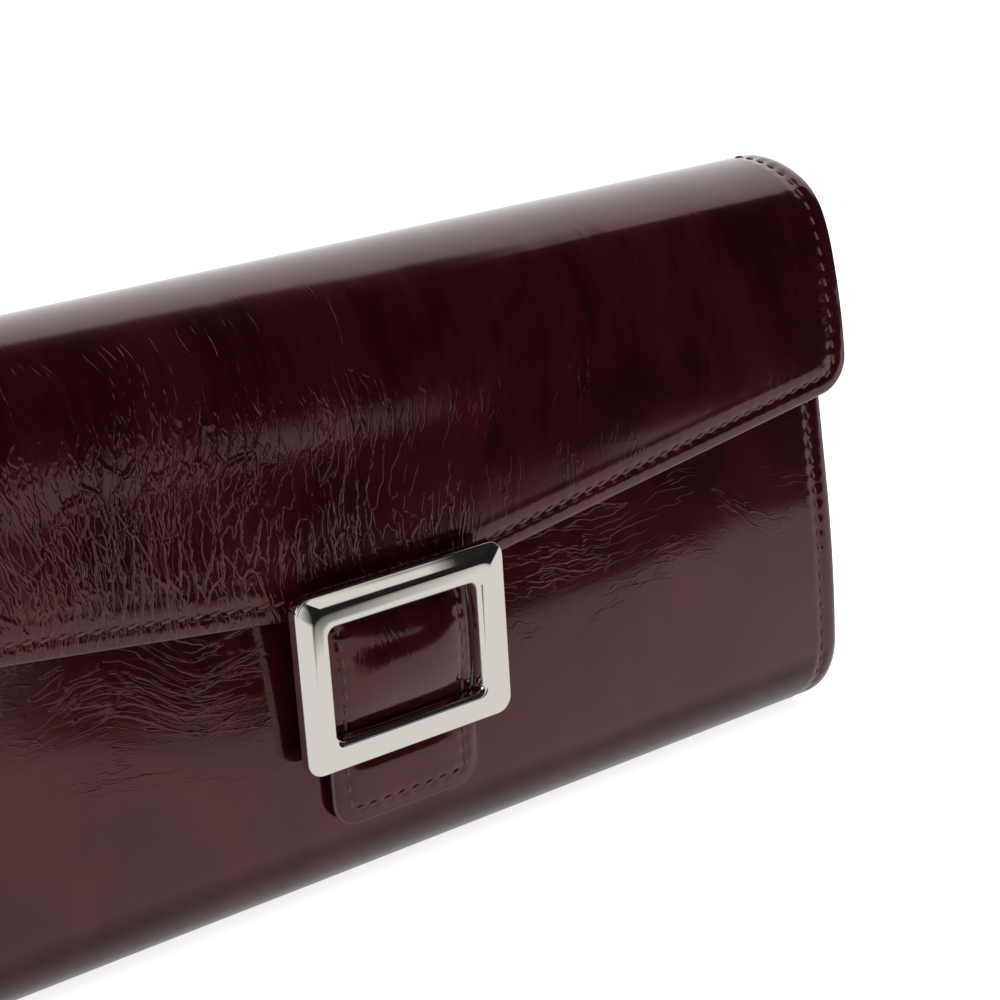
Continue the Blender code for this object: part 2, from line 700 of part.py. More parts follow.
def make_coin_pocket():
    pocket_wall("coin_pocket_front", -1, 0.0, WALL, POCKET_BOTTOM_Z, POCKET_TOP_Z, lining_material())
    pocket_wall("coin_pocket_back", 1, 0.0, WALL, POCKET_BOTTOM_Z, POCKET_TOP_Z, lining_material())
    half = POCKET_HALF_MIDDLE - WALL - FIT_GAP
    strip = [
        (POCKET_Y - half, POCKET_BOTTOM_Z), (POCKET_Y + half, POCKET_BOTTOM_Z),
        (POCKET_Y + half, POCKET_BOTTOM_Z + POCKET_STRIP_HEIGHT),
        (POCKET_Y - half, POCKET_BOTTOM_Z + POCKET_STRIP_HEIGHT),
    ]
    extrude_outline("coin_pocket_seam_strip", strip, POCKET_WIDTH / 2, lining_material())
    low = POCKET_BOTTOM_Z + POCKET_STRIP_HEIGHT + FOLD_GAP
    high = POCKET_TOP_Z - POCKET_SPREAD[0] - 0.0005
    end = [(POCKET_Y - half, low), (POCKET_Y + half, low), (POCKET_Y + half, high), (POCKET_Y - half, high)]
    for side, name in ((-1, "coin_pocket_end_left"), (1, "coin_pocket_end_right")):
        x = side * (POCKET_WIDTH - POCKET_END_WIDTH) / 2
        extrude_outline(name, end, POCKET_END_WIDTH / 2, lining_material(), x)


def zip_plane_z():
    """Height of the middle of the zip's chain."""
    return POCKET_TOP_Z + 0.0012


def make_zip_tapes():
    """An L-shaped tape each side: flat beside the chain, then down inside the pocket's wall."""
    z = zip_plane_z()
    outer, thickness = POCKET_HALF_TOP - WALL - FIT_GAP, TAPE_THICKNESS
    for side, name in ((-1, "zip_tape_front"), (1, "zip_tape_back")):
        corners = [
            (ZIP_HALF_CHAIN + 0.0001, z - thickness / 2), (ZIP_HALF_CHAIN + 0.0001, z + thickness / 2),
            (outer, z + thickness / 2), (outer, z - TAPE_DROP),
            (outer - thickness, z - TAPE_DROP), (outer - thickness, z - thickness / 2),
        ]
        outline = [(POCKET_Y + side * y, height) for y, height in corners]
        extrude_outline(name, outline, POCKET_WIDTH / 2 - 0.001, tape_material())


def make_zip_teeth():
    """Two rows of teeth: a long cord edge with a square tooth at every pitch."""
    low, high = zip_plane_z() - ZIP_HEIGHT / 2, zip_plane_z() + ZIP_HEIGHT / 2
    count = int(2 * ZIP_HALF_LENGTH / TOOTH_PITCH)
    root, tip = ZIP_HALF_CHAIN - 0.0007, ZIP_HALF_SLOT
    for side, name, shift in ((-1, "zip_teeth_front", 0.0), (1, "zip_teeth_back", TOOTH_PITCH / 2)):
        plan = [(-ZIP_HALF_LENGTH, ZIP_HALF_CHAIN), (-ZIP_HALF_LENGTH, root)]
        for i in range(count - 1):
            start = -ZIP_HALF_LENGTH + 0.0005 + shift + i * TOOTH_PITCH
            finish = start + TOOTH_PITCH * 0.55
            plan += [(start, root), (start, tip), (finish, tip), (finish, root)]
        plan += [(ZIP_HALF_LENGTH, root), (ZIP_HALF_LENGTH, ZIP_HALF_CHAIN)]
        loops = [[Vector((x, POCKET_Y + side * y)) for x, y in plan]] * 2
        loft(name, loops, [low, high], polished_metal())


def make_zip_stops():
    """A small block at each end of the chain."""
    z = zip_plane_z()
    for side, name in ((-1, "zip_stop_left"), (1, "zip_stop_right")):
        x = side * (ZIP_HALF_LENGTH + 0.0015)
        half_x, half_y, half_z = STOP_HALF
        outline = [
            (POCKET_Y - half_y, z - half_z), (POCKET_Y + half_y, z - half_z),
            (POCKET_Y + half_y, z + half_z), (POCKET_Y - half_y, z + half_z),
        ]
        extrude_outline(name, outline, half_x, polished_metal(), x)


def slider_x():
    """The slider's middle with the zip closed."""
    return ZIP_HALF_LENGTH - SLIDER_LENGTH / 2 - 0.0005


def make_slider():
    """Two plates joined by a thin post between the rows of teeth, with a bridge on top for the pull."""
    z, half, upper = zip_plane_z(), SLIDER_LOWER_HALF, SLIDER_UPPER_HALF
    plate_gap, plate = ZIP_HEIGHT / 2 + FIT_GAP, SLIDER_PLATE
    post = ZIP_HALF_SLOT - 0.00012
    outline = [
        (-upper, plate_gap + plate), (-upper, plate_gap), (-post, plate_gap), (-post, -plate_gap),
        (-half, -plate_gap), (-half, -plate_gap - plate), (half, -plate_gap - plate), (half, -plate_gap),
        (post, -plate_gap), (post, plate_gap), (upper, plate_gap), (upper, plate_gap + plate),
    ]
    placed = [(POCKET_Y + y, z + height) for y, height in outline]
    slider = extrude_outline("zip_slider", placed, SLIDER_LENGTH / 2, polished_metal(), slider_x())
    join_with(slider, bridge_block(z + plate_gap + plate))


def bridge_block(base_z):
    """The bridge over the slider: an arch seen from the side, narrower than the pull's eye."""
    reach, height, bar = 0.0028, 0.0024, 0.0007
    sunk, inner = -0.0002, reach - bar
    plan = [
        (-reach, sunk), (-reach, height), (reach, height), (reach, sunk),
        (inner, sunk), (inner, height - bar), (-inner, height - bar), (-inner, sunk),
    ]
    points = [(slider_x() + x, POCKET_Y + y, base_z + z) for y in (-0.0006, 0.0006) for x, z in plan]
    count = len(plan)
    faces = [(i, (i + 1) % count, count + (i + 1) % count, count + i) for i in range(count)]
    faces += [tuple(range(count)), tuple(range(count, 2 * count))]
    block = new_object("slider_bridge_cutter", mesh_from("bridge", points, faces), polished_metal())
    return close_mesh(block)


def join_with(obj, other):
    """Unites another solid with this one, with a Boolean."""
    other.hide_render = True
    other.display_type = "WIRE"
    union = obj.modifiers.new("union", "BOOLEAN")
    union.operation = "UNION"
    union.object = other


def pull_pivot():
    """The axis that the pull turns on, along Y under the slider's bridge."""
    plate_top = zip_plane_z() + ZIP_HEIGHT / 2 + FIT_GAP + SLIDER_PLATE
    return (slider_x(), POCKET_Y, plate_top + 0.00085)


def make_pull():
    """The pull: a plate whose near end is a frame, with one bar of it under the slider's bridge."""
    x0, y0, z0 = pull_pivot()
    half, arm, bar, thin = PULL_HALF_WIDTH, PULL_ARM, PULL_BAR_HALF, PULL_THICKNESS
    corner = 0.001
    plan = [
        (bar, half), (corner - PULL_LENGTH, half), (-PULL_LENGTH, half - corner),
        (-PULL_LENGTH, corner - half), (corner - PULL_LENGTH, -half), (bar, -half),
    ]
    loops = [[Vector((x0 + x, y0 + y)) for x, y in plan]] * 2
    pull = loft("zip_pull", loops, [z0 - thin / 2, z0 + thin / 2], polished_metal())
    eye_plan = [
        (-bar, half - arm), (-PULL_EYE_LENGTH, half - arm),
        (-PULL_EYE_LENGTH, arm - half), (-bar, arm - half),
    ]
    eye_loops = [[Vector((x0 + x, y0 + y)) for x, y in eye_plan]] * 2
    eye = loft("zip_pull_eye", eye_loops, [z0 - thin, z0 + thin], polished_metal())
    eye.hide_render = True
    eye.display_type = "WIRE"
    cut = pull.modifiers.new("eye", "BOOLEAN")
    cut.operation = "DIFFERENCE"
    cut.object = eye


# ---- axes ----


def set_origin(obj, point):
    """Moves an object's origin to a point and leaves its shape where it is."""
    obj.data.transform(Matrix.Translation([-value for value in point]))
    obj.location = point


def put_origins_on_axes():
    """Each moving piece's origin lies on the axis that it turns or slides on."""
    spine_axis = (0.0, *BODY.at(BODY.length))
    flap_axis = (0.0, *FLAP.at(FLAP_FOLD))
    front_axis = (0.0, *BODY.at(FRONT_FOLD))
    axes = {
        spine_axis: ("spine_",),
        flap_axis: ("flap_", "tab_", "buckle_", "snap_socket"),
        front_axis: ("front_", "snap_stud", "coin_pocket_", "zip_tape_", "zip_teeth_", "zip_stop_"),
        (slider_x(), POCKET_Y, zip_plane_z()): ("zip_slider",),
        pull_pivot(): ("zip_pull",),
    }
    for point, starts in axes.items():
        for obj in bpy.context.scene.objects:
            if not obj.hide_render and obj.name.startswith(starts):
                set_origin(obj, point)


def main():
    clear_scene()
    make_back_and_base()
    make_front_panel()
    make_card_slots()
    make_gussets()
    make_spine_and_flap()
    make_tab()
    make_buckle()
    make_rivets()
    make_press_stud()
    make_coin_pocket()
    make_zip_tapes()
    make_zip_teeth()
    make_zip_stops()
    make_slider()
    make_pull()
    put_origins_on_axes()


main()
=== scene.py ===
"""Looks of a long flap wallet in glossy creased leather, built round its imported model.

Sizes are in metres. Every leather layer follows one of two side profiles in the YZ plane, and a place on
a layer is given by x, across the width, and run, the distance along the profile.
"""

import json
import logging
import math
from dataclasses import dataclass, field
from enum import Enum
from functools import cached_property

import bpy
import numpy as np
from mathutils import Matrix, Vector

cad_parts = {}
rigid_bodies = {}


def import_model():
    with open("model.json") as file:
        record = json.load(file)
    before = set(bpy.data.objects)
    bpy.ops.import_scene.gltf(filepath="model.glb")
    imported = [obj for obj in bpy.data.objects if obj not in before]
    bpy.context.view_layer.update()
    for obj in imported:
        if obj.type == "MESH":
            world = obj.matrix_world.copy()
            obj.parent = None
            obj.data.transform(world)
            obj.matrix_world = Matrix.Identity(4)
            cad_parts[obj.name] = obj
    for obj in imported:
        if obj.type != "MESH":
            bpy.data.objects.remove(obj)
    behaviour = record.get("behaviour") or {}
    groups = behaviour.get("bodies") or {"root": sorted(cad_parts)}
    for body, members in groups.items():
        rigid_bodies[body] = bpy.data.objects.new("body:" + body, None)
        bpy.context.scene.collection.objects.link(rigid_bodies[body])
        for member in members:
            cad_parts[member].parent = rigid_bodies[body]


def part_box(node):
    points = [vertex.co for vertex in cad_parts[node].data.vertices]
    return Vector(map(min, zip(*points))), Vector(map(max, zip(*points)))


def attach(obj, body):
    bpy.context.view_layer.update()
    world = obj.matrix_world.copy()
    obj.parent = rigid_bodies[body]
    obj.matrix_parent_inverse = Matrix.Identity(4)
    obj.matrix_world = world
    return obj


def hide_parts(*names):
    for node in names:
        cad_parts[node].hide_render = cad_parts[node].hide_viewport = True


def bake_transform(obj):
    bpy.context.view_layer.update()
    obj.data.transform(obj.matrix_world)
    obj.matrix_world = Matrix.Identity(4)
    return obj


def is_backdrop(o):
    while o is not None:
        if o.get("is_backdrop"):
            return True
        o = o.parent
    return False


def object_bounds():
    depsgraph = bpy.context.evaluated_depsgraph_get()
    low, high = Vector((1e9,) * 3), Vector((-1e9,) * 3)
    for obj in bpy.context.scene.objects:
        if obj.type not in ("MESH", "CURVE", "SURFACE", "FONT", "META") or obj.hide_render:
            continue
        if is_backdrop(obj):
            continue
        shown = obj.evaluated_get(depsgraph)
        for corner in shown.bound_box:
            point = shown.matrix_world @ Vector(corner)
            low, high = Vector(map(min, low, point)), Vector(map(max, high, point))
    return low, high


Array = np.ndarray
Socket = bpy.types.NodeSocket
Finish = bpy.types.Material
Piece = bpy.types.Object

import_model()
CAD_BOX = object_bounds()
LOG = logging.getLogger("wallet")
MM = 0.001


class Side(Enum):
    """The wallet's left or right side, as seen from the front."""

    LEFT = -1
    RIGHT = 1


class Slot(Enum):
    """The record's material slots."""

    OUTER = "outer_leather"
    LINING = "lining_leather"
    METAL = "polished_metal"
    ZIP_METAL = "zip_metal"
    TAPE = "zip_tape"


# ---- fields of numbers ----


def smooth(low: float, high: float, value: Array) -> Array:
    """Smoothstep: 0 below low, 1 above high, and 3t^2 - 2t^3 between them.

    Args:
        low: Where the step starts.
        high: Where it ends. It may be below low, which turns the step round.
        value: The values to map.

    Returns:
        An array from 0 to 1.
    """
    share = np.clip((value - low) / (high - low), 0.0, 1.0)
    return share * share * (3.0 - 2.0 * share)


def lattice_noise(u: Array, v: Array, seed: int) -> Array:
    """Smooth noise from -1 to 1: hashed values at whole numbers of u and v, joined by a quintic fade.

    Args:
        u: First coordinate.
        v: Second coordinate.
        seed: Which pattern.

    Returns:
        Noise of the same shape as u.
    """
    u, v = np.broadcast_arrays(np.asarray(u, float), np.asarray(v, float))
    cell_u, cell_v = np.floor(u).astype(np.int64), np.floor(v).astype(np.int64)
    part_u, part_v = u - cell_u, v - cell_v
    fade_u = part_u**3 * (part_u * (part_u * 6 - 15) + 10)
    fade_v = part_v**3 * (part_v * (part_v * 6 - 15) + 10)

    def corner(step_u: int, step_v: int) -> Array:
        """The hashed value at one corner of each cell."""
        mixed = (cell_u + step_u) * 374761393 + (cell_v + step_v) * 668265263 + seed * 974634777
        mixed = (mixed ^ (mixed >> 13)) * 1274126177
        return ((mixed ^ (mixed >> 16)) & 0xFFFF) / 32767.5 - 1.0

    near = corner(0, 0) * (1 - fade_u) + corner(1, 0) * fade_u
    far = corner(0, 1) * (1 - fade_u) + corner(1, 1) * fade_u
    return near * (1 - fade_v) + far * fade_v


def layered_noise(u: Array, v: Array, seed: int, layers: int = 3) -> Array:
    """A sum of noise layers, each at twice the frequency and half the height of the one before."""
    return sum(lattice_noise(u * 2**k, v * 2**k, seed + k) * 0.5**k for k in range(layers))


def ridges(u: Array, v: Array, seed: int, sharpness: float = 6.0) -> Array:
    """Thin lines where smooth noise crosses zero: (1 - |noise|) to a power."""
    return (1.0 - np.abs(lattice_noise(u, v, seed))).clip(0, 1) ** sharpness


def bell(value: Array, centre: Array | float, width: float) -> Array:
    """1 at the centre, falling off on both sides as exp(-((value - centre) / width)^2)."""
    return np.exp(-(((value - centre) / width) ** 2))


def squared(value: Array, power: Array | float) -> Array:
    """The value's size raised to a power, with its sign kept. Below 1, it squares off a circle."""
    return np.sign(value) * np.abs(value) ** power


def soft_least(one: Array, other: Array, blend: float) -> Array:
    """The smaller of two distances, rounded where they are equal: -k log(exp(-a/k) + exp(-b/k))."""
    return -blend * np.logaddexp(-one / blend, -other / blend)


def even_grid(left: float, right: float, columns: int, top: float, bottom: float, rows: int) -> list[Array]:
    """Places across and down: even steps from left to right in each row, and from top to bottom."""
    across, down = np.linspace(left, right, columns), np.linspace(top, bottom, rows)
    return np.broadcast_arrays(across[None, :], down[:, None])


# ---- meshes ----


def grid_faces(rows: int, columns: int, closed_rows: bool = False, closed_columns: bool = False) -> Array:
    """Quads between neighbouring points of a grid.

    Args:
        rows: Number of rows.
        columns: Number of points in a row.
        closed_rows: Whether the last row joins the first.
        closed_columns: Whether each row's last point joins its first.

    Returns:
        An array of four indices for each quad.
    """
    row = np.arange(rows if closed_rows else rows - 1)[:, None]
    column = np.arange(columns if closed_columns else columns - 1)[None, :]
    below, after = (row + 1) % rows, (column + 1) % columns
    here, under = row * columns, below * columns
    corners = (here + column, under + column, under + after, here + after)
    return np.stack(np.broadcast_arrays(*corners), axis=-1).reshape(-1, 4)


def signed_volume(points: Array, faces: list[Array]) -> float:
    """Volume inside the faces, which is negative when they point inwards."""
    total = 0.0
    for group in faces:
        for k in range(1, group.shape[1] - 1):
            a, b, c = points[group[:, 0]], points[group[:, k]], points[group[:, k + 1]]
            total += float(np.einsum("ij,ij->i", a, np.cross(b, c)).sum())
    return total / 6.0


@dataclass
class Surface:
    """Points, faces and the values that a material reads, on their way to a mesh."""

    points: Array
    faces: list[Array]
    finish_of_face: list[Array] = field(default_factory=list)
    maps: dict[str, Array] = field(default_factory=dict)
    values: dict[str, Array] = field(default_factory=dict)

    def make(self, name: str, finishes: list[Finish], sharp: float = 50.0) -> Piece:
        """Makes the object, with its faces outwards and its shading smooth.

        Args:
            name: The piece's name.
            finishes: Its materials, in the order that finish_of_face counts.
            sharp: Edges that turn more than this, in degrees, stay crisp.

        Returns:
            The new object, at the origin.
        """
        faces = self.faces
        if signed_volume(self.points, faces) < 0:
            faces = [group[:, ::-1] for group in faces]
        mesh = bpy.data.meshes.new(name)
        loops = np.concatenate([group.reshape(-1) for group in faces])
        sizes = np.concatenate([np.full(len(group), group.shape[1]) for group in faces])
        mesh.vertices.add(len(self.points))
        mesh.vertices.foreach_set("co", self.points.astype(np.float32).reshape(-1))
        mesh.loops.add(len(loops))
        mesh.loops.foreach_set("vertex_index", loops.astype(np.int32))
        mesh.polygons.add(len(sizes))
        mesh.polygons.foreach_set("loop_start", (np.cumsum(sizes) - sizes).astype(np.int32))
        if self.finish_of_face:
            mesh.polygons.foreach_set("material_index", np.concatenate(self.finish_of_face).astype(np.int32))
        for key, pairs in self.maps.items():
            mesh.uv_layers.new(name=key).uv.foreach_set("vector", pairs[loops].astype(np.float32).reshape(-1))
        for key, numbers in self.values.items():
            mesh.attributes.new(key, "FLOAT", "POINT").data.foreach_set("value", numbers.astype(np.float32))
        mesh.update(calc_edges=True)
        mesh.validate()
        mesh.shade_smooth()
        mesh.set_sharp_from_angle(angle=math.radians(sharp))
        for finish in finishes:
            mesh.materials.append(finish)
        piece = bpy.data.objects.new(name, mesh)
        bpy.context.scene.collection.objects.link(piece)
        return piece


def unit(vectors: Array) -> Array:
    """Each vector at length 1."""
    return vectors / np.maximum(np.linalg.norm(vectors, axis=-1, keepdims=True), 1e-12)


@dataclass
class Sheet:
    """A sheet with thickness: an outer face on a grid, a reverse behind it and a rounded rim between them.

    The rim at angle t from 0 to pi is middle + normal * half thickness * cos t + outward * bulge * sin t.
    """

    outer: Array
    normal: Array
    thickness: float
    bulge: float
    surface_map: Array
    fold_map: Array | None = None
    creasing: Array | None = None
    base: Array | None = None
    butt_first: bool = False
    butt_last: bool = False
    rim_steps: int = 6

    def perimeter(self) -> Array:
        """Indices of the grid's outside points, in order round it."""
        rows, columns = self.outer.shape[:2]
        index = np.arange(rows * columns).reshape(rows, columns)
        return np.concatenate([index[0, :-1], index[:-1, -1], index[-1, :0:-1], index[:0:-1, 0]])

    def outward(self, around: Array) -> Array:
        """Unit vectors away from the sheet along its outside: the tangent crossed with the normal."""
        rows, columns = self.outer.shape[:2]
        points = self.outer.reshape(-1, 3)
        edge = points[around]
        tangent = unit(np.roll(edge, -1, axis=0) - edge) + unit(edge - np.roll(edge, 1, axis=0))
        across = unit(np.cross(unit(tangent), self.normal.reshape(-1, 3)[around]))
        row = np.clip(around // columns, 1, rows - 2)
        column = np.clip(around % columns, 1, columns - 2)
        away = edge - points[row * columns + column]
        return across * np.sign(np.einsum("ij,ij->i", across, away))[:, None]

    def surface(self) -> Surface:
        """The closed surface. Finish 0 is the outer face, 1 the rim and 2 the reverse."""
        rows, columns = self.outer.shape[:2]
        outer, normal = self.outer.reshape(-1, 3), self.normal.reshape(-1, 3)
        base = outer if self.base is None else self.base.reshape(-1, 3)
        reverse = base - normal * self.thickness
        around = self.perimeter()
        row = around // columns
        butted = (row == 0) & self.butt_first | (row == rows - 1) & self.butt_last
        bulge = np.where(butted, 0.0, self.bulge)
        angle = (np.pi * np.arange(1, self.rim_steps) / self.rim_steps)[:, None, None]
        middle, half = (outer[around] + reverse[around]) / 2, (outer[around] - reverse[around]) / 2
        swell = self.outward(around) * bulge[:, None]
        rim = middle + half * np.cos(angle) + swell * np.sin(angle)
        count, ring = rows * columns, len(around)
        points = np.concatenate([outer, reverse, rim.reshape(-1, 3)])
        front = grid_faces(rows, columns)
        back = front[:, ::-1] + count
        between = 2 * count + np.arange((self.rim_steps - 1) * ring).reshape(-1, ring)
        loops = np.concatenate([around[None], between, around[None] + count])
        order = grid_faces(len(loops), ring, closed_columns=True)
        side = self._matching(front, loops.reshape(-1)[order])
        spread = np.concatenate([np.arange(count), np.arange(count), np.tile(around, self.rim_steps - 1)])
        folds = self.surface_map if self.fold_map is None else self.fold_map
        maps = {"Surface": self.surface_map.reshape(-1, 2)[spread], "Folds": folds.reshape(-1, 2)[spread]}
        creasing = np.zeros(count) if self.creasing is None else self.creasing.reshape(-1)
        finish = [np.zeros(len(front)), np.full(len(back), 2), np.ones(len(side))]
        return Surface(points, [front, back, side], finish, maps, {"creasing": creasing[spread]})

    @staticmethod
    def _matching(front: Array, side: Array) -> Array:
        """The rim's faces, turned so that they run against the outer face's edges that they share."""
        pairs = {tuple(edge) for edge in front[:1, [0, 1]].tolist() + front[:1, [3, 0]].tolist()}
        own = np.concatenate([side[:, [k, (k + 1) % 4]] for k in range(4)])
        same = any(((own == edge).all(axis=1)).any() for edge in pairs)
        return side[:, ::-1] if same else side


def tube_rings(centres: Array, across: Array, up: Array, width: Array, height: Array, sides: int) -> Array:
    """Rings of points round a line: centre + across * width * cos t + up * height * sin t.

    Args:
        centres: Ring centres, shape (..., rings, 3).
        across: Sideways unit vectors, of the same shape.
        up: Upward unit vectors, of the same shape.
        width: Half width at each ring.
        height: Half height at each ring.
        sides: Points in a ring.

    Returns:
        Points of shape (..., rings, sides, 3).
    """
    angle = 2 * np.pi * np.arange(sides) / sides
    sideways = across[..., None, :] * (width[..., None, None] * np.cos(angle)[:, None])
    upwards = up[..., None, :] * (height[..., None, None] * np.sin(angle)[:, None])
    return centres[..., None, :] + sideways + upwards


def closed_tubes(rings: Array, maps: dict[str, Array] | None = None) -> Surface:
    """Tubes through rings of points, each with a flat face at both ends.

    Args:
        rings: Points of shape (tubes, rings, sides, 3), anticlockwise as seen from the last ring's side.
        maps: Maps for the points.

    Returns:
        All the tubes as one surface, with its faces outwards.
    """
    count, rows, sides = rings.shape[:3]
    start = (np.arange(count) * rows * sides)[:, None, None]
    ring = np.arange(sides)
    walls = grid_faces(rows, sides, closed_columns=True)[:, ::-1]
    ends = np.stack([ring[::-1], ring + (rows - 1) * sides])
    faces = [(part[None] + start).reshape(-1, part.shape[1]) for part in (walls, ends)]
    return Surface(rings.reshape(-1, 3), faces, maps=maps or {})


# ---- materials ----


class Nodes:
    """A material's node tree, built a node at a time."""

    def __init__(self, name: str) -> None:
        """Makes a material that holds only a Principled shader and its output."""
        self.material = bpy.data.materials.new(name)
        self.material.use_nodes = True
        self.tree = self.material.node_tree
        self.shader = self.tree.nodes["Principled BSDF"]

    def add(self, kind: str, inputs: dict | None = None, **settings) -> bpy.types.Node:
        """Adds a node.

        Args:
            kind: The node's type, without ShaderNode.
            inputs: Values or sockets for its inputs, by name or place.
            **settings: The node's own settings.

        Returns:
            The new node.
        """
        node = self.tree.nodes.new("ShaderNode" + kind)
        for key, value in settings.items():
            setattr(node, key, value)
        self.fill(node, inputs or {})
        return node

    def fill(self, node: bpy.types.Node, inputs: dict) -> None:
        """Links or sets a node's inputs."""
        for key, value in inputs.items():
            if isinstance(value, Socket):
                self.tree.links.new(value, node.inputs[key])
            else:
                node.inputs[key].default_value = value

    def maths(self, operation: str, *values: float | Socket) -> Socket:
        """The result of one sum on numbers or sockets."""
        return self.add("Math", dict(enumerate(values)), operation=operation).outputs[0]

    def vector(self, operation: str, one: Socket, other: Socket | tuple) -> Socket:
        """The result of one sum on vectors."""
        return self.add("VectorMath", {0: one, 1: other}, operation=operation).outputs[0]

    def step(self, low: float, high: float, value: Socket) -> Socket:
        """A smooth step of the value between low and high, from 0 to 1."""
        limits = {"Value": value, "From Min": low, "From Max": high}
        return self.add("MapRange", limits, interpolation_type="SMOOTHSTEP").outputs[0]

    def stretched(self, where: Socket, across: float, along: float) -> Socket:
        """Map coordinates divided by a pattern's size across and along."""
        return self.vector("MULTIPLY", where, (1 / across, 1 / along, 1.0))

    def noise(self, where: Socket, detail: float = 3.0, warp: float = 0.0) -> Socket:
        """Noise from 0 to 1 with features of about 1 unit."""
        inputs = {"Vector": where, "Scale": 1.0, "Detail": detail, "Distortion": warp}
        return self.add("TexNoise", inputs, noise_dimensions="2D").outputs[0]

    def cell_edges(self, where: Socket, width: float) -> Socket:
        """1 along the borders of random cells, falling to 0 at this distance from them."""
        cells = {"Vector": where, "Scale": 1.0, "Randomness": 1.0}
        settings = {"voronoi_dimensions": "2D", "feature": "DISTANCE_TO_EDGE"}
        return self.step(width, 0.0, self.add("TexVoronoi", cells, **settings).outputs["Distance"])

    def wavering(self, where: Socket, size: float, reach: float) -> Socket:
        """Map coordinates shifted by noise of this size, so that straight lines run wavy."""
        scaled = self.stretched(where, size, size)
        inputs = {"Vector": scaled, "Scale": 1.0, "Detail": 2.0}
        noise = self.add("TexNoise", inputs, noise_dimensions="2D").outputs["Color"]
        centred = self.vector("SUBTRACT", noise, (0.5, 0.5, 0.5))
        return self.vector("ADD", where, self.vector("MULTIPLY", centred, (2 * reach, 2 * reach, 0.0)))

    def level_line(self, value: Socket, width: float) -> Socket:
        """1 where a value from 0 to 1 crosses its middle, falling to 0 this far from it."""
        apart = self.maths("ABSOLUTE", self.maths("SUBTRACT", value, 0.5))
        return self.step(width, 0.0, apart)

    def map(self, name: str) -> Socket:
        """The piece's own map of this name."""
        return self.add("UVMap", uv_map=name).outputs[0]

    def mix(self, share: Socket, low: tuple, high: tuple) -> Socket:
        """A colour between two colours."""
        ramp = self.add("ValToRGB", {"Fac": share})
        ramp.color_ramp.elements[0].color = (*low, 1.0)
        ramp.color_ramp.elements[1].color = (*high, 1.0)
        return ramp.outputs[0]

    def bump(self, height: Socket, depth: float, under: Socket | None = None) -> Socket:
        """A normal bent by a height, whose 0 to 1 is this depth in metres."""
        inputs = {"Height": height, "Distance": depth, "Strength": 1.0}
        if under is not None:
            inputs["Normal"] = under
        return self.add("Bump", inputs).outputs[0]


def shade(colour: tuple, amount: float) -> tuple:
    """A colour made this much brighter."""
    return tuple(amount * part for part in colour)


@dataclass(frozen=True)
class PatentLeather:
    """Glossy creased leather: a dark mottled hide under a clear film that follows its creases."""

    name: str = "creased_patent_leather"
    dark: tuple = (0.0105, 0.0007, 0.0018)
    light: tuple = (0.0270, 0.0022, 0.0046)
    crease_depth: float = 0.000050
    vein_depth: float = 0.000034
    fine_depth: float = 0.000014
    film_depth: float = 0.000013
    grain_depth: float = 0.0000045

    def make(self) -> Finish:
        """Builds the material from the maps Surface and Folds and the attribute creasing."""
        nodes = Nodes(self.name)
        flat = nodes.map("Surface")
        folds = nodes.wavering(nodes.map("Folds"), 3.2 * MM, 0.55 * MM)
        creasing = nodes.add("Attribute", attribute_name="creasing").outputs["Fac"]
        amount = nodes.maths("MULTIPLY_ADD", creasing, 0.80, 0.14)
        spread = nodes.noise(nodes.stretched(folds, 9 * MM, 24 * MM), 2.0)
        reach = nodes.maths("MULTIPLY_ADD", creasing, 0.42, nodes.maths("SUBTRACT", spread, 0.72))
        cracked = nodes.maths("MULTIPLY", nodes.step(-0.12, 0.14, reach), amount)
        veined = nodes.maths("MULTIPLY", nodes.step(-0.26, 0.04, reach), amount)
        long_lines = nodes.cell_edges(nodes.stretched(folds, 2.7 * MM, 11.0 * MM), 0.10)
        veins = nodes.level_line(nodes.noise(nodes.stretched(folds, 2.3 * MM, 10.0 * MM), 2.0), 0.035)
        short_lines = nodes.cell_edges(nodes.stretched(folds, 1.1 * MM, 4.2 * MM), 0.16)
        film = nodes.noise(nodes.stretched(folds, 0.85 * MM, 3.6 * MM), 3.0)
        grain = nodes.noise(nodes.stretched(flat, 0.24 * MM, 0.27 * MM), 1.0)
        vein = nodes.maths("MULTIPLY", veins, veined)
        normal = nodes.bump(nodes.maths("MULTIPLY", long_lines, cracked), self.crease_depth)
        normal = nodes.bump(vein, self.vein_depth, normal)
        normal = nodes.bump(nodes.maths("MULTIPLY", short_lines, cracked), self.fine_depth, normal)
        normal = nodes.bump(nodes.maths("MULTIPLY", film, amount), self.film_depth, normal)
        normal = nodes.bump(grain, self.grain_depth, normal)
        mottle = nodes.noise(nodes.stretched(flat, 13 * MM, 22 * MM), 5.0, 0.5)
        streaks = nodes.noise(nodes.stretched(folds, 1.6 * MM, 9 * MM), 3.0)
        tone = nodes.maths("MULTIPLY_ADD", streaks, 0.25, nodes.maths("MULTIPLY", mottle, 0.85))
        # Colour lighter along the vein lines and in the mottle's lighter patches.
        vein_and_mottle_lift = nodes.maths("MULTIPLY_ADD", vein, 0.35, nodes.step(0.38, 0.76, tone))
        colour = nodes.mix(nodes.maths("MINIMUM", vein_and_mottle_lift, 1.0), self.dark, self.light)
        nodes.fill(nodes.shader, {
            "Base Color": colour, "Roughness": 0.20, "Specular IOR Level": 0.50,
            "Specular Tint": (1.0, 0.16, 0.20, 1.0), "Normal": normal,
            "Coat Weight": 1.0, "Coat Roughness": 0.030, "Coat IOR": 1.42, "Coat Normal": normal,
        })
        return nodes.material


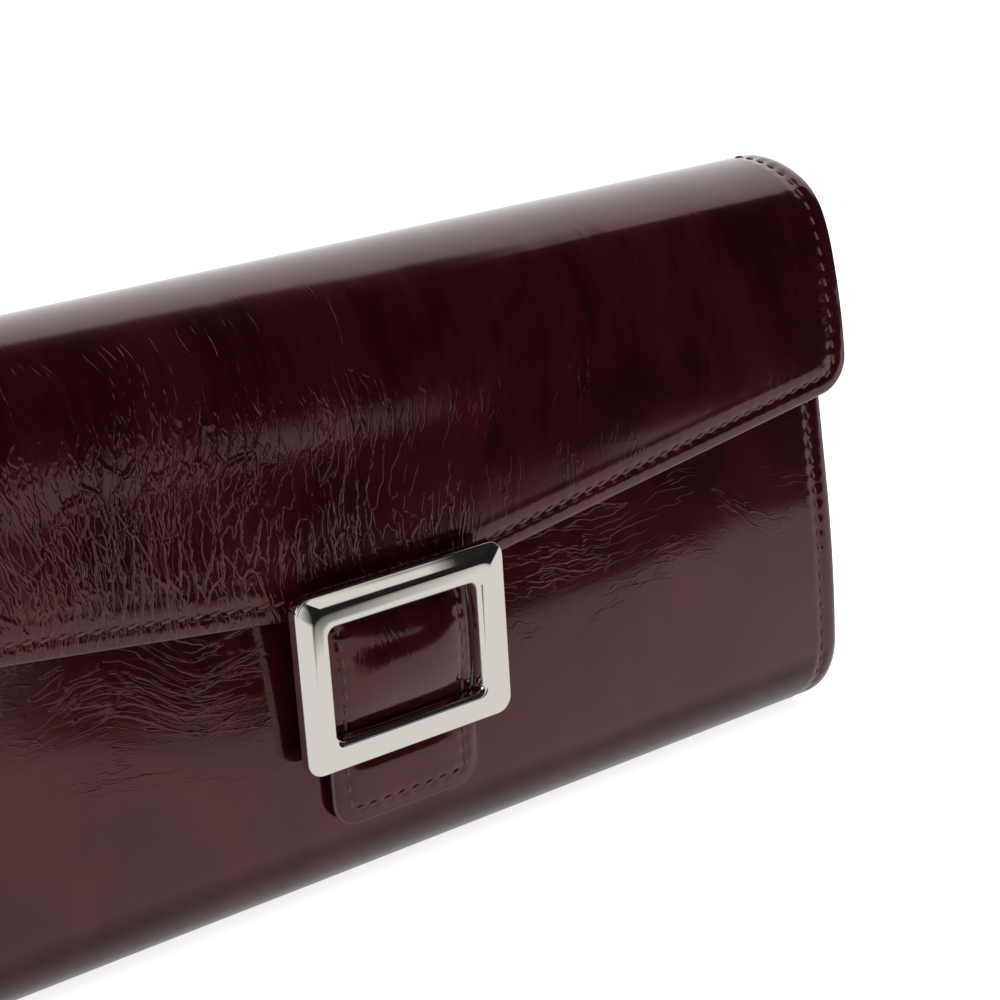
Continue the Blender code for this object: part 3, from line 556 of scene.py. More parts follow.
@dataclass(frozen=True)
class EdgePaint:
    """The thick rounded paint on cut edges, a little waxy."""

    name: str = "painted_edge"
    colour: tuple = (0.022, 0.006, 0.008)

    def make(self) -> Finish:
        """Builds the material, with slow waves left by the brush."""
        nodes = Nodes(self.name)
        flat = nodes.map("Surface")
        waves = nodes.noise(nodes.stretched(flat, 2.4 * MM, 2.4 * MM), 2.0)
        tone = nodes.mix(waves, self.colour, shade(self.colour, 1.5))
        nodes.fill(nodes.shader, {
            "Base Color": tone, "Roughness": 0.22, "Specular IOR Level": 0.6,
            "Normal": nodes.bump(waves, 0.00003), "Coat Weight": 1.0, "Coat Roughness": 0.07,
        })
        return nodes.material


@dataclass(frozen=True)
class LiningLeather:
    """Smooth matt leather with a fine pebbled grain."""

    name: str = "smooth_lining_leather"
    dark: tuple = (0.060, 0.0090, 0.0130)
    light: tuple = (0.105, 0.0180, 0.0230)

    def make(self) -> Finish:
        """Builds the material from the map Surface."""
        nodes = Nodes(self.name)
        flat = nodes.map("Surface")
        pebbles = nodes.cell_edges(nodes.stretched(flat, 0.45 * MM, 0.5 * MM), 0.35)
        cloud = nodes.noise(nodes.stretched(flat, 14 * MM, 14 * MM), 4.0)
        nodes.fill(nodes.shader, {
            "Base Color": nodes.mix(cloud, self.dark, self.light), "Roughness": 0.52,
            "Specular IOR Level": 0.4, "Normal": nodes.bump(pebbles, -0.00003),
        })
        return nodes.material


@dataclass(frozen=True)
class Thread:
    """Waxed sewing thread with a visible twist."""

    name: str = "waxed_thread"
    colour: tuple = (0.115, 0.034, 0.028)

    def make(self) -> Finish:
        """Builds the material. The twist is a wave along each stitch's own map, and its grooves are coloured
        darker as painted shade.
        """
        nodes = Nodes(self.name)
        twist = nodes.add("TexWave", {
            "Vector": nodes.map("Surface"), "Scale": 0.55, "Distortion": 0.6,
        }, wave_type="BANDS", bands_direction="DIAGONAL").outputs["Fac"]
        # Painted shade: the twist's grooves, where its bump is low, are coloured darker.
        nodes.fill(nodes.shader, {
            "Base Color": nodes.mix(twist, shade(self.colour, 0.45), self.colour),
            "Roughness": 0.45, "Normal": nodes.bump(twist, 0.00006), "Sheen Weight": 0.15,
        })
        return nodes.material


@dataclass(frozen=True)
class Plating:
    """Plated metal with faint wiping marks."""

    name: str = "pale_nickel"
    colour: tuple = (0.74, 0.715, 0.655)
    roughness: float = 0.03
    mark_density: tuple = (900.0, 900.0, 140.0)
    mark_depth: float = 0.0000012

    def make(self) -> Finish:
        """Builds the material from Object coordinates."""
        nodes = Nodes(self.name)
        where = nodes.add("TexCoord").outputs["Object"]
        scaled = nodes.vector("MULTIPLY", where, self.mark_density)
        marks = nodes.add("TexNoise", {"Vector": scaled, "Scale": 1.0, "Detail": 3.0}).outputs[0]
        rough = nodes.add("MapRange", {
            "Value": marks, "To Min": self.roughness * 0.7, "To Max": self.roughness * 1.6,
        }).outputs[0]
        nodes.fill(nodes.shader, {
            "Base Color": (*self.colour, 1.0), "Metallic": 1.0, "Roughness": rough,
            "Normal": nodes.bump(marks, self.mark_depth),
        })
        return nodes.material


@dataclass(frozen=True)
class WovenTape:
    """Zip tape in a fine herringbone weave."""

    name: str = "woven_zip_tape"
    colour: tuple = (0.032, 0.0070, 0.0095)

    def make(self) -> Finish:
        """Builds the material: two crossed waves of thread, with painted shade between the threads and a
        painted highlight where they cross.
        """
        nodes = Nodes(self.name)
        where = nodes.add("TexCoord").outputs["Object"]
        weave = [
            nodes.add("TexWave", {"Vector": where, "Scale": 620.0}, bands_direction=way).outputs["Fac"]
            for way in ("X", "Z")
        ]
        both = nodes.maths("MULTIPLY", *weave)
        # Painted shade and highlight: darker between the threads, lighter where both waves rise.
        nodes.fill(nodes.shader, {
            "Base Color": nodes.mix(both, self.colour, shade(self.colour, 2.2)),
            "Roughness": 0.85, "Sheen Weight": 0.3, "Normal": nodes.bump(both, 0.00008),
        })
        return nodes.material


@dataclass
class Finishes:
    """Every finish of the wallet, each made once."""

    leather: Finish = field(default_factory=lambda: PatentLeather().make())
    edge: Finish = field(default_factory=lambda: EdgePaint().make())
    lining: Finish = field(default_factory=lambda: LiningLeather().make())
    thread: Finish = field(default_factory=lambda: Thread().make())
    lining_thread: Finish = field(
        default_factory=lambda: Thread("waxed_lining_thread", (0.12, 0.030, 0.034)).make())
    nickel: Finish = field(default_factory=lambda: Plating().make())
    zip_metal: Finish = field(
        default_factory=lambda: Plating("satin_nickel", (0.70, 0.675, 0.62), 0.22).make())
    tape: Finish = field(default_factory=lambda: WovenTape().make())

    def sheet(self) -> list[Finish]:
        """Outer face, rim and reverse of a piece of the outer leather."""
        return [self.leather, self.edge, self.lining]

    def inner(self) -> list[Finish]:
        """Outer face, rim and reverse of a piece of lining."""
        return [self.lining, self.edge, self.lining]


def low(node: str) -> Vector:
    """Lowest corner of a CAD node."""
    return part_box(node)[0]


def high(node: str) -> Vector:
    """Highest corner of a CAD node."""
    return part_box(node)[1]


# ---- the side profiles ----


@dataclass(frozen=True)
class Profile:
    """A path of lines and arcs in the YZ plane that keeps the wallet's inside on its left."""

    start: tuple[float, float, float]
    stretches: tuple[tuple[float, float], ...]

    @cached_property
    def states(self) -> Array:
        """For each stretch: the run where it starts, its curvature, and y, z and heading there."""
        run, (y, z, heading) = 0.0, self.start
        rows = []
        for length, curvature in self.stretches:
            rows.append((run, curvature, y, z, heading))
            y, z, heading = self._walk(y, z, heading, curvature, np.float64(length))
            run += length
        return np.array(rows, float)

    @property
    def length(self) -> float:
        """The whole path's length."""
        return sum(length for length, _ in self.stretches)

    @staticmethod
    def _walk(y: Array, z: Array, heading: Array, bend: Array, step: Array) -> tuple[Array, Array, Array]:
        """Where a step along an arc ends: y + (sin(h + ks) - sin h) / k, or a straight line where k is 0."""
        bend = np.where(np.abs(bend) < 1e-9, 1e-9, bend)
        after = heading + bend * step
        along = (np.sin(after) - np.sin(heading)) / bend
        return y + along, z - (np.cos(after) - np.cos(heading)) / bend, after

    def pose(self, run: Array) -> tuple[Array, Array, Array]:
        """y, z and heading at each run."""
        states = self.states
        run = np.asarray(run, float)
        which = np.clip(np.searchsorted(states[:, 0], run, side="right") - 1, 0, len(states) - 1)
        begin, curvature, y, z, heading = (states[which, k] for k in range(5))
        return self._walk(y, z, heading, curvature, run - begin)

    def place(self, x: Array, run: Array, height: Array | float = 0.0) -> Array:
        """Points at x and run, this high above the outer face."""
        y, z, heading = self.pose(run)
        x, y, z, heading, height = np.broadcast_arrays(x, y, z, heading, height)
        return np.stack([x, y + height * np.sin(heading), z - height * np.cos(heading)], axis=-1)

    def normal(self, x: Array, run: Array) -> Array:
        """Outward unit normals: (0, sin h, -cos h)."""
        heading = self.pose(run)[2]
        x, heading = np.broadcast_arrays(x, heading)
        return np.stack([np.zeros(x.shape), np.sin(heading), -np.cos(heading)], axis=-1)

    def sheet(self, x: Array, run: Array, height: Array, depth: float = 0.0, **details) -> Sheet:
        """A sheet on the profile.

        Args:
            x: Places across the wallet.
            run: Places along the profile, of the same shape.
            height: How far the sheet's face stands above the outer face. It is negative below it.
            depth: How deep the face would lie if it had no relief. A sheet with a depth faces inwards.
            **details: The sheet's other fields.

        Returns:
            The sheet.
        """
        way = -1.0 if depth else 1.0
        details.setdefault("surface_map", np.stack([x, run], axis=-1))
        outer, base = self.place(x, run, height), self.place(x, run, -depth)
        return Sheet(outer=outer, base=base, normal=way * self.normal(x, run), **details)

    def run_at_height(self, z: float, first: float, last: float) -> float:
        """The run between first and last where the outer face reaches z, read from a fine table."""
        runs = np.linspace(first, last, 4001)
        return float(runs[np.argmin(np.abs(self.pose(runs)[1] - z))])


@dataclass(frozen=True)
class SideShape:
    """The arcs of both profiles. Their ends come from the frame."""

    front_radius: float = 0.0147
    back_radius: float = 0.0100
    top_radius: float = 0.0080
    lean: float = math.radians(6.5)
    lean_radius: float = 0.250
    lean_start_z: float = 0.016
    spine_fold_turn: float = 45.0
    flap_fold_turn: float = 136.5
    seam_turn: float = 64.0
    flap_turns: tuple = (
        (0.0080, 80), (0.0170, 10), (0.0220, 28), (0.0120, 37), (0.0300, 11), (0.1100, 7), (0.0800, 7),
    )

    @property
    def front_y(self) -> float:
        """The front belly."""
        return low("base_leather").y

    @property
    def back_y(self) -> float:
        """The back."""
        return high("base_leather").y

    @property
    def back_top_z(self) -> float:
        """Where the back starts to bend over: the top less the arcs' rise to the crown."""
        rise, turned = 0.0, 0.0
        for radius, turn in self.flap_turns:
            after = min(90.0, turned + turn)
            rise += radius * (math.sin(math.radians(after)) - math.sin(math.radians(turned)))
            turned = after
        return high("spine_leather").z - rise

    @cached_property
    def flap(self) -> Profile:
        """Up the back's last stretch, over the top and down to the flap's tip."""
        arcs = tuple((radius * math.radians(turn), 1 / radius) for radius, turn in self.flap_turns)
        bare = Profile((self.back_y, self.back_top_z, math.pi / 2), arcs)
        drop = float(bare.pose(bare.length)[1]) - low("flap_leather").z
        return Profile(bare.start, arcs + ((drop, 0.0),))

    @cached_property
    def body(self) -> Profile:
        """Down the front from the panel's top edge, round the bottom and up the back to the spine's fold."""
        top_z = high("front_leather").z
        curve_y = self.lean_radius * (1 - math.cos(self.lean))
        straight = (top_z - self.lean_start_z - self.lean_radius * math.sin(self.lean)) / math.cos(self.lean)
        top_y = self.front_y + curve_y + straight * math.sin(self.lean)
        quarter = math.pi / 2
        return Profile((top_y, top_z, -quarter - self.lean), (
            (straight, 0.0),
            (self.lean_radius * self.lean, 1 / self.lean_radius),
            (self.lean_start_z - self.front_radius, 0.0),
            (self.front_radius * quarter, 1 / self.front_radius),
            (self.back_y - self.front_y - self.front_radius - self.back_radius, 0.0),
            (self.back_radius * quarter, 1 / self.back_radius),
            (self.back_top_z - self.back_radius, 0.0),
            (self.top_radius * math.radians(80), 1 / self.top_radius),
            (0.0170 * math.radians(10), 1 / 0.0170),
        ))

    def flap_run_at_turn(self, turn: float) -> float:
        """The run along the flap where it has turned this many degrees."""
        run = 0.0
        for radius, stretch in self.flap_turns:
            run += radius * math.radians(min(turn, stretch))
            turn = max(0.0, turn - stretch)
        return run

    def fold(self, turn: float, reach: float) -> tuple[Vector, Vector]:
        """The two ends of the stretch that bends at a fold, each this reach along the tangent."""
        y, z, heading = (float(value) for value in self.flap.pose(self.flap_run_at_turn(turn)))
        along = Vector((0.0, math.cos(heading), math.sin(heading)))
        centre = Vector((0.0, y, z))
        return centre - along * reach, centre + along * reach

    @property
    def floor_run(self) -> float:
        """Where the front's leather meets the back's, on the flat bottom."""
        return float(self.body.states[4, 0]) + 1.0 * MM

    @property
    def back_run(self) -> float:
        """Where the body's path starts to bend over at the back's top."""
        return float(self.body.states[7, 0])


SHAPE = SideShape()


# ---- stitching ----


@dataclass(frozen=True)
class StitchRow:
    """A row of saddle stitches: short arched tubes that dive into the leather at both ends."""

    pitch: float = 2.7 * MM
    length: float = 1.85 * MM
    width: float = 0.27 * MM
    arch: float = 0.20 * MM
    slant: float = math.radians(14)
    sink: float = 0.10 * MM
    taper: float = 0.35
    flatness: float = 0.8
    twists: float = 3.0
    step: float = 0.4 * MM
    rings: int = 6
    sides: int = 6

    def surface(self, path: Array, up: Array) -> Surface:
        """Stitches spaced evenly along a path, each with a map that runs along and round it.

        The centre line of a stitch rises as arch * (1 - t^2) - sink for t from -1 to 1 along it, and its
        half width falls as (1 - taper * t^4).

        Args:
            path: Points along the row, shape (n, 3).
            up: Unit normals of the leather there, of the same shape.

        Returns:
            The stitches' surface.
        """
        steps = np.linalg.norm(np.diff(path, axis=0), axis=1)
        total = np.concatenate([[0.0], np.cumsum(steps)])
        count = max(2, int(round(total[-1] / self.pitch)))
        where = (np.arange(count) + 0.5) * total[-1] / count
        t = np.linspace(-1, 1, self.rings)
        along = where[:, None] + t * self.length / 2

        def at(values: Array, runs: Array) -> Array:
            """Values along the path, read at these runs."""
            return np.stack([np.interp(runs, total, values[:, k]) for k in range(3)], axis=-1)

        centre, normal = at(path, where), unit(at(up, where))
        before, after = np.maximum(where - self.step, 0), np.minimum(where + self.step, total[-1])
        tangent = unit(at(path, after) - at(path, before))
        side = unit(np.cross(normal, tangent))
        turned = tangent * math.cos(self.slant) + side * math.sin(self.slant)
        lift = self.arch * (1 - t**2) - self.sink
        reach = np.einsum("nrk,nk->nr", at(path, along) - centre[:, None], tangent)
        line = centre[:, None] + turned[:, None] * reach[..., None] + normal[:, None] * lift[None, :, None]
        across = np.broadcast_to(unit(np.cross(normal, turned))[:, None], line.shape)
        upward = np.broadcast_to(normal[:, None], line.shape)
        width = np.broadcast_to(self.width * (1 - self.taper * t**4), line.shape[:2])
        rings = tube_rings(line, across, upward, width, width * self.flatness, self.sides)
        around = np.arange(self.sides) / self.sides
        pairs = np.stack(np.broadcast_arrays(t[:, None], around[None]), axis=-1) * self.twists
        return closed_tubes(rings, {"Surface": np.tile(pairs.reshape(-1, 2), (count, 1))})


# ---- creased leather ----


@dataclass(frozen=True)
class Layers:
    """The layers that the flap and the body share: their thickness, their depth and how they end."""

    leather: float = 1.58 * MM
    leather_rim: float = 0.34 * MM
    lining: float = 0.60 * MM
    lining_rim: float = 0.12 * MM
    lining_depth: float = 2.28 * MM
    press: float = 0.14 * MM
    press_width: float = 0.5 * MM
    thread_lift: float = 0.05 * MM
    seam_fade: float = 6 * MM
    edge_blend: float = 0.9 * MM

    def calm(self, distance: Array) -> Array:
        """How freely the hide can crease this far from a sewn edge, from a little to fully."""
        return smooth(0.5 * MM, 7 * MM, distance) * 0.85 + 0.15

    def at_seam(self, distance: Array) -> Array:
        """How much of the relief is left this far from a seam where two sheets meet flush."""
        return smooth(0.0, self.seam_fade, distance)


LAYERS = Layers()
SEAM_GAP = 1.6 * MM
PATH_STEP = 0.4 * MM
LINING_SLANT = math.radians(5)


@dataclass(frozen=True)
class Creasing:
    """How a creased hide rises and falls over the shape beneath it."""

    seed: int
    swell: float = 0.055 * MM
    folds: float = 0.022 * MM
    lines: float = 0.010 * MM
    lean: float = 0.0
    sideways: bool = False
    fold_width: float = 6.0 * MM
    fold_length: float = 21.0 * MM

    def warped(self, x: Array, run: Array) -> tuple[Array, Array]:
        """Coordinates in which the creases are straight: leant over, then shifted by slow noise."""
        shift = 3.0 * MM * layered_noise(x / (30 * MM), run / (26 * MM), self.seed + 40, 2)
        rise = 7.0 * MM * layered_noise(x / (30 * MM), run / (40 * MM), self.seed + 50, 2)
        u, v = x + self.lean * run + shift, run + rise
        return (v, u) if self.sideways else (u, v)

    def height(self, x: Array, run: Array, strength: Array) -> Array:
        """Slow swells, long folds and thin ridges: noise, stretched noise, and lines where it is zero."""
        u, v = self.warped(x, run)
        slow = self.swell * layered_noise(u / (27 * MM), v / (24 * MM), self.seed, 2)
        long_folds = self.folds * lattice_noise(u / self.fold_width, v / self.fold_length, self.seed + 10)
        thin = ridges(u / (6.5 * MM), v / (23 * MM), self.seed + 20, 7.0)
        finer = ridges(u / (3.6 * MM), v / (12 * MM), self.seed + 30, 5.0)
        return slow + long_folds + strength * self.lines * (thin + 0.45 * finer)

    def fold_map(self, x: Array, run: Array) -> Array:
        """The warped coordinates as a map for the leather's fine creases."""
        return np.stack(self.warped(x, run), axis=-1)


@dataclass(frozen=True)
class EdgeWork:
    """What sewing and folding do near an edge: a groove under the thread, puckers and a raised line."""

    inset: float = 2.8 * MM
    groove: float = 0.26 * MM
    groove_width: float = 0.50 * MM
    pucker: float = 0.070 * MM
    pucker_width: float = 1.25 * MM
    line_inset: float = 5.0 * MM
    line: float = 0.035 * MM
    line_width: float = 0.55 * MM
    rounding: float = 0.16 * MM
    rounding_width: float = 0.9 * MM
    pitch: float = 2.7 * MM

    def height(self, distance: Array, along: Array) -> Array:
        """Height by distance from the edge and place along it.

        It is minus a narrow bell at the stitch line, plus a low bell at the raised line, plus a cosine at
        the stitch pitch, and it falls off over the last stretch before the edge.
        """
        sunk = self.groove * bell(distance, self.inset, self.groove_width)
        raised = self.line * bell(distance, self.line_inset, self.line_width)
        ripple = self.pucker * np.cos(2 * np.pi * along / self.pitch)
        fall = self.rounding * (1.0 - smooth(0.0, self.rounding_width, distance))
        return raised - sunk + ripple * bell(distance, self.inset, self.pucker_width) - fall


def corner_fall(x: Array, half: float, radius: float) -> Array:
    """How far a round corner has drawn in at x: radius - sqrt(radius^2 - beyond^2), or 0 in the middle."""
    beyond = np.clip(np.abs(x) - (half - radius), 0.0, radius)
    return radius - np.sqrt(radius**2 - beyond**2)


def columns_round(half: float, radius: float, count: int, corner_count: int = 9) -> Array:
    """Places across a piece with round corners: even in the middle, and closer over the corners."""
    corner = half - radius + radius * np.sin(np.linspace(0, np.pi / 2, corner_count)[1:])
    return np.concatenate([-corner[::-1], np.linspace(radius - half, half - radius, count), corner])


def level_normals(way: float, points: Array) -> Array:
    """Unit vectors along Y, forwards for -1 and backwards for 1, one for each point."""
    return np.broadcast_to(np.array([0.0, way, 0.0]), points.shape)


def joined(*groups: Surface) -> Surface:
    """Several surfaces as one, with the maps and values that they share."""
    starts = np.cumsum([0] + [len(group.points) for group in groups])
    faces = [part + start for group, start in zip(groups, starts) for part in group.faces]
    finish = [part for group in groups for part in group.finish_of_face]
    maps = {key: np.concatenate([group.maps[key] for group in groups]) for key in groups[0].maps}
    values = {key: np.concatenate([group.values[key] for group in groups]) for key in groups[0].values}
    return Surface(np.concatenate([group.points for group in groups]), faces, finish, maps, values)


@dataclass(frozen=True)
class Fold:
    """A bend between two bodies, given by its start and end. Nothing here turns a piece's points."""

    first: str
    second: str
    start: Vector
    end: Vector

    def apply(self, piece: Piece) -> Piece:
        """Bakes the piece's transform into its mesh. It does not make the piece bend."""
        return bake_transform(piece)


def fitted(piece: Piece, moves: str | Fold, slot: Slot, *nodes: str) -> Piece:
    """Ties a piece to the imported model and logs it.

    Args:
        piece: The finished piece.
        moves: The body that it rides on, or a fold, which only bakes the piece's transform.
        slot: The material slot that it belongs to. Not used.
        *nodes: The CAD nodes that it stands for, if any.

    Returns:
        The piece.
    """
    if isinstance(moves, Fold):
        moves.apply(piece)
    else:
        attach(piece, moves)
    if nodes:
        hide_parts(*nodes)
    LOG.info("made %s, %d faces", piece.name, len(piece.data.polygons))
    return piece


@dataclass
class Folds:
    """The wallet's three folds in leather."""

    spine: Fold = field(init=False)
    flap: Fold = field(init=False)
    front: Fold = field(init=False)

    def __post_init__(self) -> None:
        """Places the folds on the profiles."""
        behind = SHAPE.fold(SHAPE.spine_fold_turn, 2.6 * MM)
        before = SHAPE.fold(SHAPE.flap_fold_turn, 6.0 * MM)
        self.spine = Fold("back", "spine", behind[0] + (behind[0] - behind[1]) * 0.25, behind[1])
        self.flap = Fold("spine", "flap", *before)
        y = SHAPE.front_y
        self.front = Fold("back", "front", Vector((0.0, y, 7.0 * MM)), Vector((0.0, y, 21.0 * MM)))


# ---- the flap ----


@dataclass
class Flap:
    """The flap and the strip over the top: leather, lining and the stitching round them."""

    finishes: Finishes
    fold: Fold
    creasing: Creasing = Creasing(seed=7)
    edge_work: EdgeWork = EdgeWork()
    columns: int = 236
    rows: int = 118
    slope: float = 0.143
    corner_radius: float = 5.0 * MM
    tip_softness: float = 3.0 * MM
    lining_inset: float = 0.9 * MM
    smooth_right_x: float = 30 * MM
    creased_left_x: float = -46 * MM
    tab_reach: float = 30 * MM
    patch: tuple = (20 * MM, 22 * MM)

    @property
    def half(self) -> float:
        """Half the flap's width."""
        return high("flap_leather").x

    @property
    def start(self) -> float:
        """The run of the seam behind the top."""
        return SHAPE.flap_run_at_turn(SHAPE.seam_turn)

    def edge_run(self, x: Array, inset: float = 0.0) -> Array:
        """The lower edge's run: the tip less slope * |x|, less a round corner's fall at the sides."""
        soft = np.sqrt(x**2 + self.tip_softness**2) - self.tip_softness
        corner = corner_fall(x, self.half - inset, self.radius_at(inset))
        return SHAPE.flap.length - inset / math.cos(self.slope) - self.slope * soft - corner

    def radius_at(self, inset: float) -> float:
        """The corners' radius this far in from the edge."""
        return max(self.corner_radius - inset, 0.5 * MM)

    def columns_at(self, inset: float, count: int) -> Array:
        """Places across the flap, this far in from its sides."""
        return columns_round(self.half - inset, self.radius_at(inset), count)

    def grid(self, inset: float, columns: int, rows: int) -> tuple[Array, Array]:
        """x and run of a grid from the seam behind the top to the lower edge."""
        x = self.columns_at(inset, columns)[None, :]
        run = self.start + np.linspace(0, 1, rows)[:, None] * (self.edge_run(x, inset) - self.start)
        return np.broadcast_to(x, run.shape), run

    def edge_distance(self, x: Array, run: Array, inset: float = 0.0) -> tuple[Array, Array]:
        """How far a place is from the nearest edge, and where it lies along that edge."""
        side = self.half - inset - np.abs(x)
        lower = (self.edge_run(x, inset) - run) * math.cos(self.slope)
        return soft_least(side, lower, LAYERS.edge_blend), np.where(side < lower, run, x)

    def strength(self, x: Array, run: Array) -> Array:
        """How creased the hide is: most on the left and round the tab, least on the right and on top."""
        along = 0.08 + 1.0 * smooth(self.smooth_right_x, self.creased_left_x, x)
        near_tab = 0.70 * bell(x, 0.0, self.tab_reach) * smooth(46 * MM, 74 * MM, run)
        below_top = smooth(SHAPE.flap_run_at_turn(118), SHAPE.flap_run_at_turn(150), run)
        patches = 0.88 + 0.22 * layered_noise(x / self.patch[0], run / self.patch[1], 91, 2)
        return np.clip((along + near_tab) * patches * (0.10 + 0.90 * below_top), 0.02, 1.3)

    def height(self, x: Array, run: Array) -> Array:
        """The leather's rise over the flap's shape, which fades out at the seam behind the top."""
        distance, along = self.edge_distance(x, run)
        hide = self.creasing.height(x, run, self.strength(x, run)) * LAYERS.calm(distance)
        return LAYERS.at_seam(run - self.start) * (hide + self.edge_work.height(distance, along))

    def leather(self) -> Piece:
        """The outer leather with its board: the flap's path at x and run, raised by height."""
        x, run = self.grid(0.0, self.columns, self.rows)
        from_front = run + SHAPE.back_run
        sheet = SHAPE.flap.sheet(
            x, run, self.height(x, run), thickness=LAYERS.leather, bulge=LAYERS.leather_rim,
            surface_map=np.stack([x, from_front], axis=-1), fold_map=self.creasing.fold_map(x, from_front),
            creasing=self.strength(x, run), butt_first=True,
        )
        piece = sheet.surface().make("flap_leather_skin", self.finishes.sheet())
        nodes = ("flap_leather", "spine_leather", "flap_board", "spine_board")
        return fitted(piece, self.fold, Slot.OUTER, *nodes)

    def lining(self) -> Piece:
        """The lining behind the flap, with a shallow crease that follows its edge."""
        x, run = self.grid(self.lining_inset, 96, 80)
        distance, _ = self.edge_distance(x, run, self.lining_inset)
        press = LAYERS.press * bell(distance, self.edge_work.inset - self.lining_inset, LAYERS.press_width)
        slack = 0.05 * MM * layered_noise(x / (24 * MM), run / (18 * MM), 61, 2)
        height = (press + slack) * LAYERS.at_seam(run - self.start) - LAYERS.lining_depth
        sheet = SHAPE.flap.sheet(
            x, run, height, LAYERS.lining_depth, thickness=LAYERS.lining, bulge=LAYERS.lining_rim,
            butt_first=True,
        )
        piece = sheet.surface().make("flap_inner_lining", self.finishes.inner())
        return fitted(piece, self.fold, Slot.LINING, "flap_lining", "spine_lining")

    def seam_line(self) -> tuple[Array, Array]:
        """x and run along the stitching: down the left side, along the pointed edge and up the right side."""
        inset = self.edge_work.inset
        x = self.columns_at(inset, 400)
        run = self.edge_run(x, inset)
        up = np.arange(self.start + SEAM_GAP, run[0], PATH_STEP)
        sides = np.full(len(up), x[-1])
        return np.concatenate([-sides, x, sides]), np.concatenate([up, run, up[::-1]])

    def stitching(self) -> list[Piece]:
        """The thread outside and, behind it, the thread on the lining."""
        x, run = self.seam_line()
        normal = SHAPE.flap.normal(x, run)
        outside = SHAPE.flap.place(x, run, self.height(x, run) + LAYERS.thread_lift)
        inside = SHAPE.flap.place(x, run, LAYERS.press - LAYERS.lining_depth)
        made = []
        for name, path, up, row, slot in (
            ("flap_stitching", outside, normal, StitchRow(), Slot.OUTER),
            ("flap_inner_stitching", inside, -normal, StitchRow(arch=0.16 * MM), Slot.LINING),
        ):
            piece = row.surface(path, up).make(name, [self.finishes.thread])
            made.append(fitted(piece, self.fold, slot))
        return made


# ---- the body ----


